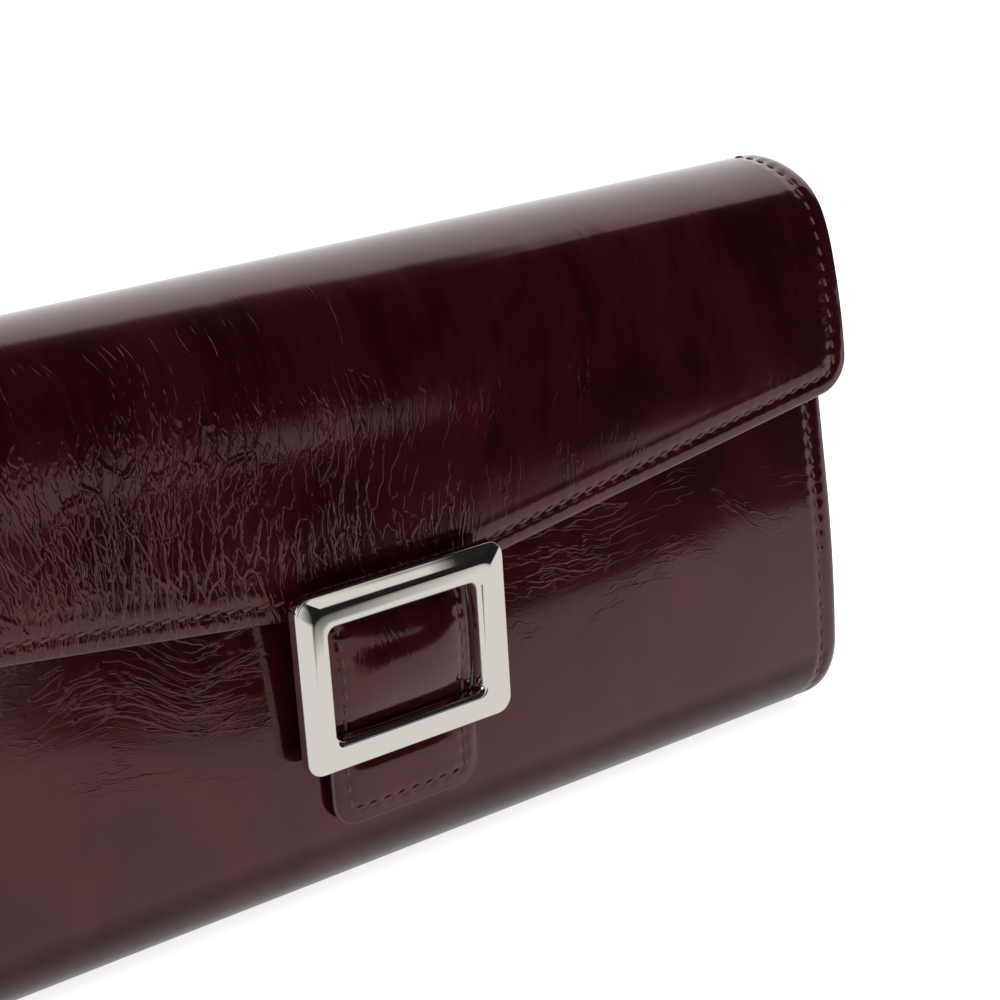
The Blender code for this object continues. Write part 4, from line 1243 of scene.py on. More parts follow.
@dataclass
class Body:
    """The front panel, the bottom and the back: leather, linings and stitching."""

    finishes: Finishes
    folds: Folds
    front_creasing: Creasing = Creasing(seed=23, lean=-0.45, sideways=True)
    back_creasing: Creasing = Creasing(seed=7)
    edge_work: EdgeWork = EdgeWork(inset=3.0 * MM)
    columns: int = 236
    front_rows: int = 132
    back_rows: int = 150
    lining_columns: int = 90
    lining_inset: float = 1.0 * MM
    flare_z: tuple = (58.0 * MM, 88.0 * MM)
    wrinkle_x: float = 34 * MM
    wrinkle_reach: float = 30 * MM
    wrinkle_run: tuple = (66 * MM, 34 * MM)
    patch: tuple = (18 * MM, 15 * MM)
    back_strength: float = 0.45
    front_thread_end: float = 16 * MM
    back_thread_start: float = 10 * MM

    @property
    def half(self) -> float:
        """Half the body's width."""
        return high("front_leather").x

    @property
    def back_end(self) -> float:
        """The run of the seam behind the top."""
        return SHAPE.back_run + SHAPE.flap_run_at_turn(SHAPE.seam_turn)

    def half_at(self, run: Array) -> Array:
        """Half the back's width, which widens near its top to meet the flap."""
        z = SHAPE.body.pose(run)[1]
        beyond = run > SHAPE.body.states[5, 0]
        wider = high("flap_leather").x - self.half
        return self.half + wider * np.where(beyond, smooth(*self.flare_z, z), 0.0)

    def front_strength(self, x: Array, run: Array) -> Array:
        """How creased the front is: fine wrinkles under the flap's edge, beside the buckle."""
        beside = bell(np.abs(x), self.wrinkle_x, self.wrinkle_reach) * smooth(*self.wrinkle_run, run)
        patches = 0.8 + 0.3 * layered_noise(x / self.patch[0], run / self.patch[1], 87, 2)
        return np.clip((0.07 + 0.72 * beside) * patches, 0.02, 1.2)

    def front_height(self, x: Array, run: Array) -> Array:
        """The front leather's rise, which fades out at the seam on the bottom."""
        side = self.half - np.abs(x)
        distance = soft_least(side, run, LAYERS.edge_blend)
        flat_behind_tab = 1.0 - 0.75 * smooth(22 * MM, 16 * MM, np.abs(x))
        flat_low_down = 0.25 + 0.75 * smooth(0.0, 16 * MM, SHAPE.body.pose(run)[1])
        hide = self.front_creasing.height(x, run, self.front_strength(x, run)) * LAYERS.calm(distance)
        work = self.edge_work.height(distance, np.where(side < run, run, x))
        return LAYERS.at_seam(SHAPE.floor_run - run) * (hide * flat_behind_tab * flat_low_down + work)

    def back_height(self, x: Array, run: Array) -> Array:
        """The back leather's rise, which fades out at both of its seams and stays inside on the bottom."""
        seams = LAYERS.at_seam(run - SHAPE.floor_run) * LAYERS.at_seam(self.back_end - run)
        side = self.half_at(run) - np.abs(x)
        hide = self.back_creasing.height(x, run, np.full(x.shape, self.back_strength)) * LAYERS.calm(side)
        upright = smooth(1 * MM, 14 * MM, SHAPE.body.pose(run)[1])
        return seams * ((hide - 0.05 * MM) * upright + self.edge_work.height(side, run))

    def front(self) -> Piece:
        """The front leather with its board: the body's path at x and run, raised by front_height."""
        x, run = even_grid(-self.half, self.half, self.columns, 0, SHAPE.floor_run, self.front_rows)
        sheet = SHAPE.body.sheet(
            x, run, self.front_height(x, run), thickness=LAYERS.leather, bulge=LAYERS.leather_rim,
            fold_map=self.front_creasing.fold_map(x, run), creasing=self.front_strength(x, run),
            butt_last=True,
        )
        piece = sheet.surface().make("front_leather_skin", self.finishes.sheet())
        return fitted(piece, self.folds.front, Slot.OUTER, "front_leather", "front_board")

    def back(self) -> Piece:
        """The leather of the bottom and the back, as far as the seam behind the top."""
        share, run = even_grid(-1, 1, self.columns, SHAPE.floor_run, self.back_end, self.back_rows)
        x = share * self.half_at(run)
        sheet = SHAPE.body.sheet(
            x, run, self.back_height(x, run), thickness=LAYERS.leather, bulge=LAYERS.leather_rim,
            fold_map=self.back_creasing.fold_map(x, run), creasing=np.full(run.shape, self.back_strength),
            butt_first=True, butt_last=True,
        )
        piece = sheet.surface().make("back_leather_skin", self.finishes.sheet())
        return fitted(piece, self.folds.spine, Slot.OUTER, "back_leather", "base_leather", "back_board")

    def _lining(self, name: str, first: float, last: float, rows: int, fold: Fold, nodes: list[str]) -> None:
        """A lining along the body's path from first to last, which faces inwards."""
        share, run = even_grid(-1, 1, self.lining_columns, first, last, rows)
        half = self.half_at(run) - self.lining_inset
        x = share * half
        sewn = self.edge_work.inset - self.lining_inset
        press = LAYERS.press * bell(half - np.abs(x), sewn, LAYERS.press_width)
        sheet = SHAPE.body.sheet(
            x, run, press - LAYERS.lining_depth, LAYERS.lining_depth, thickness=LAYERS.lining,
            bulge=LAYERS.lining_rim, butt_first=first > 0, butt_last=True,
        )
        piece = sheet.surface().make(name, self.finishes.inner())
        fitted(piece, fold, Slot.LINING, *nodes)

    def linings(self) -> None:
        """The linings of the front and of the back."""
        floor = SHAPE.floor_run
        self._lining("front_inner_lining", 0.6 * MM, floor, 74, self.folds.front, ["front_lining"])
        nodes = ["back_lining", "base_lining"]
        self._lining("back_inner_lining", floor, self.back_end, 84, self.folds.spine, nodes)

    def stitching(self) -> None:
        """The thread down both sides and along the front's top edge, and up both sides of the back.

        It ends a little above the bottom fold.
        """
        inset = self.edge_work.inset
        down = np.arange(inset, SHAPE.floor_run - self.front_thread_end, PATH_STEP)
        over = np.linspace(inset - self.half, self.half - inset, 400)
        sides = np.full(len(down), self.half - inset)
        x = np.concatenate([-sides[::-1], over, sides])
        run = np.concatenate([down[::-1], np.full(len(over), inset), down])
        path = SHAPE.body.place(x, run, self.front_height(x, run) + LAYERS.thread_lift)
        threads = StitchRow().surface(path, SHAPE.body.normal(x, run))
        front = threads.make("front_stitching", [self.finishes.thread])
        fitted(front, self.folds.front, Slot.OUTER)
        up = np.arange(SHAPE.floor_run + self.back_thread_start, self.back_end - SEAM_GAP, PATH_STEP)
        rows = []
        for side in Side:
            x = side.value * (self.half_at(up) - inset)
            path = SHAPE.body.place(x, up, self.back_height(x, up) + LAYERS.thread_lift)
            rows.append(StitchRow().surface(path, SHAPE.body.normal(x, up)))
        back = joined(*rows).make("back_stitching", [self.finishes.thread])
        fitted(back, self.folds.spine, Slot.OUTER)


# ---- the tab, its buckle and the press stud ----


@dataclass
class Buckle:
    """The square frame on the tab: flat polished bars with a soft outer bevel and steep inner walls."""

    finishes: Finishes
    side_bar: float = 5.6 * MM
    top_bar: float = 6.0 * MM
    bottom_bar: float = 4.8 * MM
    corner_radius: float = 2.6 * MM
    window_radius: float = 1.4 * MM

    @property
    def window(self) -> tuple[float, float, float]:
        """Half width, lowest z and highest z of the opening."""
        lowest, highest = low("buckle_frame"), high("buckle_frame")
        return highest.x - self.side_bar, lowest.z + self.bottom_bar, highest.z - self.top_bar

    def loop(self, share: Array, corner_steps: int = 8) -> tuple[Array, Array]:
        """x and z of rounded rectangles that lie this share of the way from the outside to the opening."""
        lowest, highest = low("buckle_frame"), high("buckle_frame")
        half, bottom, top = self.window
        right = highest.x + (half - highest.x) * share
        upper = highest.z + (top - highest.z) * share
        lower = lowest.z + (bottom - lowest.z) * share
        radius = self.corner_radius + (self.window_radius - self.corner_radius) * share
        angle = np.linspace(0, np.pi / 2, corner_steps)[None, :]
        xs, zs = [], []
        for turn, side, rise in ((0, 1, 1), (1, -1, 1), (2, -1, -1), (3, 1, -1)):
            at = angle + turn * np.pi / 2
            xs.append(side * (right - radius) + radius * np.cos(at))
            zs.append((upper - radius if rise > 0 else lower + radius) + radius * np.sin(at))
        return np.concatenate(xs, axis=1), np.concatenate(zs, axis=1)

    def section(self) -> Array:
        """Share and depth across a bar: round edge, shallow slope, flat face, hollow bevel and wall."""
        turn = np.linspace(0, np.pi / 2, 7)
        edge = np.stack([0.06 * (1 - np.cos(turn)), 0.50 * MM + 0.30 * MM * (1 - np.sin(turn))], axis=1)
        slope = np.array([[0.075, 0.475 * MM], [0.41, 0.050 * MM], [0.43, 0.030 * MM], [0.46, 0.018 * MM]])
        face = np.stack([np.linspace(0.50, 0.78, 5), np.full(5, 0.015 * MM)], axis=1)
        inner = np.stack([0.80 + 0.17 * np.sin(turn), 0.02 * MM + 1.0 * MM * (1 - np.cos(turn))], axis=1)
        wall = np.array([
            [0.985, 1.5 * MM], [1.0, 2.3 * MM], [0.985, 2.7 * MM], [0.03, 2.7 * MM], [0.0, 2.4 * MM],
        ])
        return np.concatenate([edge, slope, face, inner, wall])

    def frame(self) -> Piece:
        """The frame: the section carried round the rounded rectangles."""
        section = self.section()
        x, z = self.loop(section[:, :1])
        y = low("buckle_frame").y + np.broadcast_to(section[:, 1:], x.shape)
        points = np.stack([x, y, z], axis=-1).reshape(-1, 3)
        faces = grid_faces(*x.shape, closed_rows=True, closed_columns=True)
        piece = Surface(points, [faces]).make("buckle_polished_frame", [self.finishes.nickel], sharp=32)
        return fitted(piece, "flap", Slot.METAL, "buckle_frame")


@dataclass
class Tab:
    """The closing tab: leather that bulges through the buckle, and its backing."""

    finishes: Finishes
    buckle: Buckle
    creasing: Creasing = Creasing(seed=51, swell=0.05 * MM, folds=0.03 * MM, lines=0.02 * MM)
    inset: float = 2.4 * MM
    corner_radius: float = 4.0 * MM
    window_bulge: float = 2.1 * MM
    side_lift: float = 0.75 * MM
    end_bulge: float = 0.42 * MM
    thickness: float = 0.95 * MM
    strength: float = 0.20
    map_shift: float = 0.3

    @property
    def half(self) -> float:
        """Half the tab's width."""
        return high("tab_leather").x

    def bottom(self, x: Array, inset: float = 0.0) -> Array:
        """The lower end's z: level, with round corners."""
        return low("tab_leather").z + inset + corner_fall(x, self.half - inset, self.corner_radius - inset)

    def columns_at(self, inset: float, count: int) -> Array:
        """Places across the tab, this far in from its sides."""
        return columns_round(self.half - inset, self.corner_radius - inset, count)

    def grid(self, node: str, inset: float, columns: int, rows: int) -> tuple[Array, Array]:
        """x and z of a grid from the lower end up to the node's top."""
        x = self.columns_at(inset, columns)[None, :]
        bottom = self.bottom(x, inset)
        z = bottom + np.linspace(0, 1, rows)[:, None] * (high(node).z - bottom)
        return np.broadcast_to(x, z.shape), z

    def rise(self, x: Array, z: Array) -> Array:
        """How far the leather stands forward.

        In the opening it is a pillow, a parabola up the tab times a flat-topped curve across it. Below the
        buckle it is a lower pillow. The stitch groove is cut into both.
        """
        _, lowest, highest = self.buckle.window
        across = (1.0 - np.clip(np.abs(x) / self.half, 0, 1) ** 3.0) ** 0.9
        centre, reach = (lowest + highest) / 2, (highest - lowest) / 2 + 0.9 * MM
        arch = np.clip(1.0 - ((z - centre) / reach) ** 2, 0.0, 1.0) ** 0.85
        opening = smooth(0.0, 0.12, arch)
        below = smooth(lowest - 5.2 * MM, lowest - 8.0 * MM, z)
        end = smooth(0.0, 3.2 * MM, z - self.bottom(x))
        side = self.half - np.abs(x)
        distance = soft_least(side, z - self.bottom(x), 0.8 * MM)
        edges = EdgeWork(inset=self.inset, line=0.0, groove=0.20 * MM)
        work = edges.height(distance, np.where(side < z - self.bottom(x), z, x))
        creased = self.creasing.height(x, z, np.full(x.shape, 0.5))
        hide = creased * smooth(0, 4 * MM, distance) * (opening + below)
        pillow = arch * (self.side_lift + self.window_bulge * across) + self.end_bulge * below * across * end
        return pillow + hide + work * (opening + below).clip(0, 1)

    def leather(self) -> Piece:
        """The tab's leather: a level sheet that stands forward by rise."""
        x, z = self.grid("tab_leather", 0.0, 64, 120)
        y = low("tab_leather").y
        outer = np.stack([x, y - self.rise(x, z), z], axis=-1)
        base = np.stack([x, np.full(z.shape, y), z], axis=-1)
        own_patch = z + self.map_shift
        sheet = Sheet(
            outer=outer, base=base, normal=level_normals(-1.0, outer), thickness=self.thickness,
            bulge=0.30 * MM, surface_map=np.stack([x, own_patch], axis=-1),
            fold_map=self.creasing.fold_map(x, own_patch), creasing=np.full(z.shape, self.strength),
        )
        piece = sheet.surface().make("tab_padded_leather", self.finishes.sheet())
        fitted(piece, "flap", Slot.OUTER, "tab_leather")
        return piece

    def backing(self) -> Piece:
        """The smooth backing behind the tab."""
        x, z = self.grid("tab_backing", 0.6 * MM, 24, 40)
        y = high("tab_backing").y
        outer = np.stack([x, np.full(z.shape, y), z], axis=-1)
        sheet = Sheet(
            outer=outer, normal=level_normals(1.0, outer), thickness=y - low("tab_backing").y,
            bulge=0.15 * MM, surface_map=np.stack([x, z], axis=-1),
        )
        piece = sheet.surface().make("tab_smooth_backing", self.finishes.inner())
        return fitted(piece, "flap", Slot.LINING, "tab_backing")

    def stitching(self) -> None:
        """The thread round the tab: down one side, across its end and up the other, front and back."""
        inset = self.inset
        x = self.columns_at(inset, 60)
        z = self.bottom(x, inset)
        up = np.arange(z[0] + PATH_STEP, high("tab_leather").z - 1.5 * MM, PATH_STEP)
        sides = np.full(len(up), x[-1])
        x, z = np.concatenate([-sides, x, sides]), np.concatenate([up[::-1], z, up])
        for name, y, facing, lift in (
            ("tab_stitching", low("tab_leather").y - self.rise(x, z) - LAYERS.thread_lift, -1.0, 0.20 * MM),
            ("tab_back_stitching", np.full(x.shape, high("tab_backing").y), 1.0, 0.16 * MM),
        ):
            path = np.stack([x, y, z], axis=-1)
            row = StitchRow(pitch=2.6 * MM, length=2.0 * MM, arch=lift)
            piece = row.surface(path, level_normals(facing, path)).make(name, [self.finishes.thread])
            fitted(piece, "flap", Slot.OUTER)


def turned(section: Array, x: float, z: float, steps: int = 40) -> Surface:
    """A closed section of (radius, y) rows turned round an axis along Y, with its ends on the axis.

    Point (i, j) is (x + r_i cos a_j, y_i, z + r_i sin a_j). The first and last rows are single points.
    """
    angle = 2 * np.pi * np.arange(steps) / steps
    radius, y = section[1:-1, 0][:, None], section[1:-1, 1][:, None]
    rings = np.stack(np.broadcast_arrays(
        x + radius * np.cos(angle), y + 0 * angle, z + radius * np.sin(angle),
    ), axis=-1)
    rows = len(section) - 2
    ends = np.array([[x, section[0, 1], z], [x, section[-1, 1], z]])
    points = np.concatenate([rings.reshape(-1, 3), ends])
    ring, hub = np.arange(steps), np.full(steps, rows * steps)
    after, last_ring = (ring + 1) % steps, (rows - 1) * steps
    first = np.stack([after, ring, hub], axis=1)
    last = np.stack([ring + last_ring, after + last_ring, hub + 1], axis=1)
    return Surface(points, [grid_faces(rows, steps, closed_columns=True)[:, ::-1], first, last])


@dataclass
class PressStud:
    """The stud on the front panel and the socket behind the tab that snaps over it."""

    finishes: Finishes
    stud_radius: float = 2.2 * MM
    flange_radius: float = 3.2 * MM

    def stud(self) -> Piece:
        """The stud: a thin flange, a waist and a round head."""
        lowest, highest = low("snap_stud"), high("snap_stud")
        z = (lowest.z + highest.z) / 2
        front, back = lowest.y, highest.y
        skin = back - 0.9 * MM
        turn = np.linspace(0, np.pi / 2, 6)
        head = np.stack([
            (self.stud_radius - 0.5 * MM) + 0.5 * MM * np.sin(turn), front + 0.35 * MM * (1 - np.cos(turn)),
        ], axis=1)
        section = np.concatenate([
            [[0.0, front + 0.12 * MM], [0.5 * MM, front + 0.12 * MM], [0.9 * MM, front]], head,
            [[self.stud_radius - 0.35 * MM, skin - 0.25 * MM],
             [self.stud_radius + 0.1 * MM, skin - 0.12 * MM],
             [self.flange_radius - 0.25 * MM, skin - 0.08 * MM],
             [self.flange_radius, skin + 0.08 * MM], [self.flange_radius, back], [0.0, back]],
        ])
        piece = turned(section, 0.0, z).make("press_stud", [self.finishes.nickel], sharp=40)
        return fitted(piece, "front", Slot.METAL, "snap_stud")

    def socket(self) -> Piece:
        """The socket: a rolled ring round a hollow."""
        lowest, highest = low("snap_socket"), high("snap_socket")
        z, outer = (lowest.z + highest.z) / 2, highest.x
        front, back = lowest.y, highest.y
        turn = np.linspace(0, np.pi, 9)
        lip = (outer - self.stud_radius - 0.5 * MM) / 2
        middle = outer - lip
        ring = np.stack([middle + lip * np.cos(turn), back - lip + lip * np.sin(turn)], axis=1)
        section = np.concatenate([
            [[0.0, front], [outer, front]], ring,
            [[middle - lip, front + 0.35 * MM], [0.0, front + 0.3 * MM]],
        ])
        piece = turned(section, 0.0, z).make("press_socket", [self.finishes.nickel], sharp=40)
        return fitted(piece, "flap", Slot.METAL, "snap_socket")


# ---- inside: side walls, card slots, coin pocket and zip ----


def facing(points: Array) -> Array:
    """Unit normals of a grid of points: the change down the rows crossed with the change along them."""
    return unit(np.cross(np.gradient(points, axis=0), np.gradient(points, axis=1)))


@dataclass
class SideWalls:
    """The folded walls at both ends, which open like bellows."""

    finishes: Finishes
    seam_inset: float = 1.2 * MM
    fold_depth: float = 6.4 * MM
    thickness: float = 0.70 * MM
    pocket_y: float = 4.4 * MM
    leg_depth: float = 2.92 * MM
    middle_inset: float = 1.0 * MM
    path_length: float = 42 * MM
    samples: int = 72
    levels: int = 60

    def leg_lines(self, z: Array) -> tuple[Array, Array]:
        """y of the front leg and of the back leg at each height, read from the body's path."""
        ends = SHAPE.body.states[:, 0]
        sides = []
        for first, last in ((0.0, ends[4]), (ends[5], SHAPE.back_run)):
            place = SHAPE.body.place(0.0, np.linspace(first, last, 1500), -self.leg_depth)
            order = np.argsort(place[:, 2])
            sides.append(np.interp(z, place[order, 2], place[order, 1]))
        return sides[0], sides[1]

    def spread(self) -> Array:
        """Weights that make 11 corner points a smooth line: straight runs, averaged over a short window."""
        position = np.linspace(0, 10, self.samples)
        hats = np.clip(1 - np.abs(position[:, None] - np.arange(11)[None, :]), 0, 1)
        window = bell(position[:, None], position[None, :], 0.32)
        window[0], window[-1] = 0.0, 0.0
        window[0, 0] = window[-1, -1] = 1.0
        return (window / window.sum(axis=1, keepdims=True)) @ hats

    def wall(self, side: Side, node: str) -> Piece:
        """One wall: in from the front seam, out to the middle fold, in again and out to the back seam."""
        z = np.linspace(low(node).z, high(node).z, self.levels)
        front, back = self.leg_lines(z)
        seam = high("back_leather").x - self.seam_inset
        inner, middle = seam - self.fold_depth, seam - self.middle_inset
        steps = ((seam, 0, 0.0), (inner + 0.6 * MM, 0, 0.0), (inner, 0, 0.6), (inner + 0.4 * MM, 0, 1.4),
                 (middle - 0.4 * MM, 1, -0.6), (middle, 1, 0.0), (middle - 0.4 * MM, 1, 0.6),
                 (inner + 0.4 * MM, 2, -1.4), (inner, 2, -0.6), (inner + 0.6 * MM, 2, 0.0), (seam, 2, 0.0))
        bases = (front, np.full(len(z), self.pocket_y), back)
        x = np.array([step[0] for step in steps])
        y = np.stack([bases[which] + shift * MM for _, which, shift in steps])
        weights = self.spread()
        grid_y = (weights @ y).T
        grid_x = np.broadcast_to(side.value * (weights @ x)[None, :], grid_y.shape)
        points = np.stack([grid_x, grid_y, np.broadcast_to(z[:, None], grid_y.shape)], axis=-1)
        normal = facing(points)
        run, upward = np.broadcast_arrays(np.linspace(0, self.path_length, self.samples)[None, :], z[:, None])
        relief = 0.04 * MM * layered_noise(run / (6 * MM), upward / (14 * MM), 71 + side.value, 2)
        half = self.thickness / 2
        sheet = Sheet(
            outer=points + normal * (half + relief[..., None]), base=points + normal * half, normal=normal,
            thickness=self.thickness, bulge=0.16 * MM, surface_map=np.stack([run, upward], axis=-1),
        )
        piece = sheet.surface().make(f"side_wall_{side.name.lower()}", self.finishes.inner())
        crossing = Fold("back", "front", Vector((0.0, back.max(), 0.04)), Vector((0.0, front.min(), 0.04)))
        return fitted(piece, crossing, Slot.LINING, node)


@dataclass
class CardSlots:
    """Stepped card slots on the front and on the back, with a sewn line down their middle."""

    finishes: Finishes
    first_depth: float = 2.95 * MM
    pitch: float = 0.65 * MM
    thickness: float = 0.50 * MM
    seam_inset: float = 2.0 * MM
    seam_groove: float = 0.09 * MM

    def runs(self, node: str, behind: bool) -> tuple[float, float]:
        """The runs of a slot's top edge and of its bottom edge."""
        ends = SHAPE.body.states[:, 0]
        first, last = (ends[5], SHAPE.back_run) if behind else (0.0, ends[4])
        top = SHAPE.body.run_at_height(high(node).z, first, last)
        return top, SHAPE.body.run_at_height(low(node).z, first, last)

    def height(self, x: Array, down: Array, half: float) -> Array:
        """A turned-over top edge with a pressed line, and shallow hollows along the sewn lines."""
        press = 0.07 * MM * bell(down, 1.5 * MM, 0.28 * MM)
        seams = np.minimum(np.abs(x), np.abs(half - self.seam_inset - np.abs(x)))
        sewn = self.seam_groove * bell(seams, 0.0, 0.5 * MM)
        cards = 0.05 * MM * smooth(2 * MM, 7 * MM, seams) * smooth(0.0, 4 * MM, down)
        return cards - press - sewn

    def slot(self, node: str, place: int, behind: bool) -> Array:
        """One slot's leather. It returns where its threads go: x, run and depth of the visible face."""
        top, bottom = self.runs(node, behind)
        half, depth = high(node).x, self.first_depth + place * self.pitch
        x, run = even_grid(-half, half, 120, top, bottom, 64)
        lift = self.height(x, np.abs(run - top), half)
        thickness = self.thickness - 0.04 * MM
        sheet = SHAPE.body.sheet(x, run, -depth - lift, depth, thickness=thickness, bulge=0.18 * MM)
        piece = sheet.surface().make(f"{node}_leather", self.finishes.inner())
        fitted(piece, "back" if behind else "front", Slot.LINING, node)
        return np.array([top, bottom, half, depth])

    def side(self, name: str, count: int, behind: bool) -> None:
        """All the slots of one side and their thread."""
        found = [self.slot(f"{name}_card_slot_{i + 1}", i, behind) for i in range(count)]
        row = StitchRow(pitch=2.4 * MM, length=1.8 * MM, width=0.22 * MM, arch=0.14 * MM, slant=LINING_SLANT)
        threads = []
        for i, (top, bottom, half, depth) in enumerate(found):
            end = found[i + 1][0] if i + 1 < count else bottom
            way = 1.0 if end > top else -1.0
            run = np.arange(top + way * 0.9 * MM, end - way * PATH_STEP, way * PATH_STEP)
            for x in (self.seam_inset - half, 0.0, half - self.seam_inset):
                path = SHAPE.body.place(x, run, self.seam_groove - depth)
                threads.append(row.surface(path, -SHAPE.body.normal(x, run)))
        piece = joined(*threads).make(f"{name}_slot_stitching", [self.finishes.lining_thread])
        fitted(piece, "back" if behind else "front", Slot.LINING)


def rounded_block(at: Array, half: tuple, power: float = 0.32, around: int = 10, rows: int = 5) -> Surface:
    """Rounded blocks, one at each centre.

    A point is centre + half size * (c(a) c(b), c(a) s(b), s(a)), where c and s are a cosine and a sine raised
    to a power below 1 with their sign kept, which squares the ball into a block.
    """
    tilt = np.linspace(-np.pi / 2, np.pi / 2, rows + 2)[1:-1][:, None]
    turn = 2 * np.pi * (np.arange(around) + 0.5)[None, :] / around
    level, upright = squared(np.cos(tilt), power), squared(np.sin(tilt), power)
    x, y = level * squared(np.cos(turn), power), level * squared(np.sin(turn), power)
    ball = np.stack(np.broadcast_arrays(x, y, upright), axis=-1)
    return closed_tubes(at[:, None, None] + ball[None] * np.array(half))


def slab(x: Array, y: Array, bottom: float, top: float, bevel: float) -> Surface:
    """A plate with this outline in plan: rings at both faces, drawn in by the bevel, and two full rings."""
    middle = np.array([x.mean(), y.mean()])
    reach = np.array([np.ptp(x), np.ptp(y)]) / 2
    shrunk = 1.0 - bevel / reach
    rings = []
    for z, scale in ((bottom, shrunk), (bottom + bevel, 1.0), (top - bevel, 1.0), (top, shrunk)):
        flat = middle + (np.stack([x, y], axis=1) - middle) * scale
        rings.append(np.concatenate([flat, np.full((len(x), 1), z)], axis=1))
    return closed_tubes(np.stack(rings)[None])


def rounded_outline(centre: tuple, half: tuple, power: float = 0.3, steps: int = 40) -> tuple[Array, Array]:
    """x and y of a rectangle with soft corners: cosine and sine raised to a power, with their sign kept."""
    turn = 2 * np.pi * (np.arange(steps) + 0.5) / steps
    x = centre[0] + half[0] * squared(np.cos(turn), power)
    return x, centre[1] + half[1] * squared(np.sin(turn), power)


@dataclass
class CoinPocket:
    """The pocket in the middle: two walls that spread towards the zip, bound ends and thread."""

    finishes: Finishes
    half_low: float = 2.2 * MM
    half_top: float = 3.5 * MM
    spread_z: tuple = (58.0 * MM, 68.0 * MM)
    thickness: float = 0.80 * MM
    seam_inset: float = 2.0 * MM

    @property
    def middle_y(self) -> float:
        """The pocket's middle."""
        return (low("coin_pocket_front").y + high("coin_pocket_back").y) / 2

    def half_at(self, z: Array) -> Array:
        """Half the pocket's depth at each height."""
        return self.half_low + (self.half_top - self.half_low) * smooth(*self.spread_z, z)

    def wall(self, facing_way: float, node: str) -> Piece:
        """One wall: a grid of x and z at middle + side * (half depth + relief)."""
        lowest, highest = low(node), high(node)
        x, z = even_grid(lowest.x, highest.x, 120, lowest.z, highest.z, 72)
        border = np.minimum(np.minimum(highest.z - z, z - lowest.z), highest.x - np.abs(x))
        sewn = 0.11 * MM * bell(border, self.seam_inset, 0.5 * MM)
        soft = 0.10 * MM * layered_noise(x / (30 * MM), z / (20 * MM), 33 + int(facing_way), 2)
        relief = (soft - 0.10 * MM) * smooth(0, 8 * MM, border) - sewn
        y = self.middle_y + facing_way * self.half_at(z)
        outer = np.stack([x, y + facing_way * relief, z], axis=-1)
        sheet = Sheet(
            outer=outer, base=np.stack([x, y, z], axis=-1), normal=level_normals(facing_way, outer),
            thickness=self.thickness, bulge=0.20 * MM, surface_map=np.stack([x, z], axis=-1),
        )
        piece = sheet.surface().make(f"{node}_wall", self.finishes.inner())
        return fitted(piece, "middle", Slot.LINING, node)

    def stitching(self) -> None:
        """Thread along the tops of both walls, under the zip, and down their ends."""
        node, inset = "coin_pocket_front", self.seam_inset
        top, bottom, half = high(node).z - inset, low(node).z + inset, high(node).x - inset
        up = np.arange(bottom, top, 0.5 * MM)
        over = np.arange(-half, half, 0.5 * MM)
        x = np.concatenate([np.full(len(up), -half), over, np.full(len(up), half)])
        z = np.concatenate([up, np.full(len(over), top), up[::-1]])
        row = StitchRow(pitch=2.5 * MM, length=1.9 * MM, width=0.24 * MM, arch=0.15 * MM, slant=LINING_SLANT)
        rows = []
        for way in (-1.0, 1.0):
            y = self.middle_y + way * (self.half_at(z) - 0.09 * MM)
            path = np.stack([x, y, z], axis=-1)
            rows.append(row.surface(path, level_normals(way, path)))
        piece = joined(*rows).make("coin_pocket_stitching", [self.finishes.lining_thread])
        fitted(piece, "middle", Slot.LINING)

    def binding(self, side: Side, nodes: list[str]) -> Piece:
        """A strip of leather folded round one end of the pocket: a squared half circle in plan, drawn up."""
        turn = np.linspace(-np.pi / 2, np.pi / 2, 30)[None, :]
        z = np.linspace(low(nodes[0]).z - 3.0 * MM, high("coin_pocket_front").z - 1.0 * MM, 50)[:, None]
        reach = self.half_at(z) + 0.42 * MM
        y = self.middle_y + reach * squared(np.sin(turn), 0.25)
        end = high("coin_pocket_front").x
        x = side.value * (end - 3.2 * MM + 3.9 * MM * np.abs(np.cos(turn)) ** 0.35)
        x, y, z = np.broadcast_arrays(x, y, z)
        points = np.stack([x, y, z], axis=-1)
        normal = facing(points) * (side.value * np.sign(facing(points)[25, 15, 0]))
        sheet = Sheet(
            outer=points, normal=normal, thickness=0.40 * MM, bulge=0.10 * MM,
            surface_map=np.stack([turn * 2 * MM + 0 * z, z], axis=-1),
        )
        piece = sheet.surface().make(f"coin_pocket_binding_{side.name.lower()}", self.finishes.inner())
        return fitted(piece, "middle", Slot.LINING, *nodes)


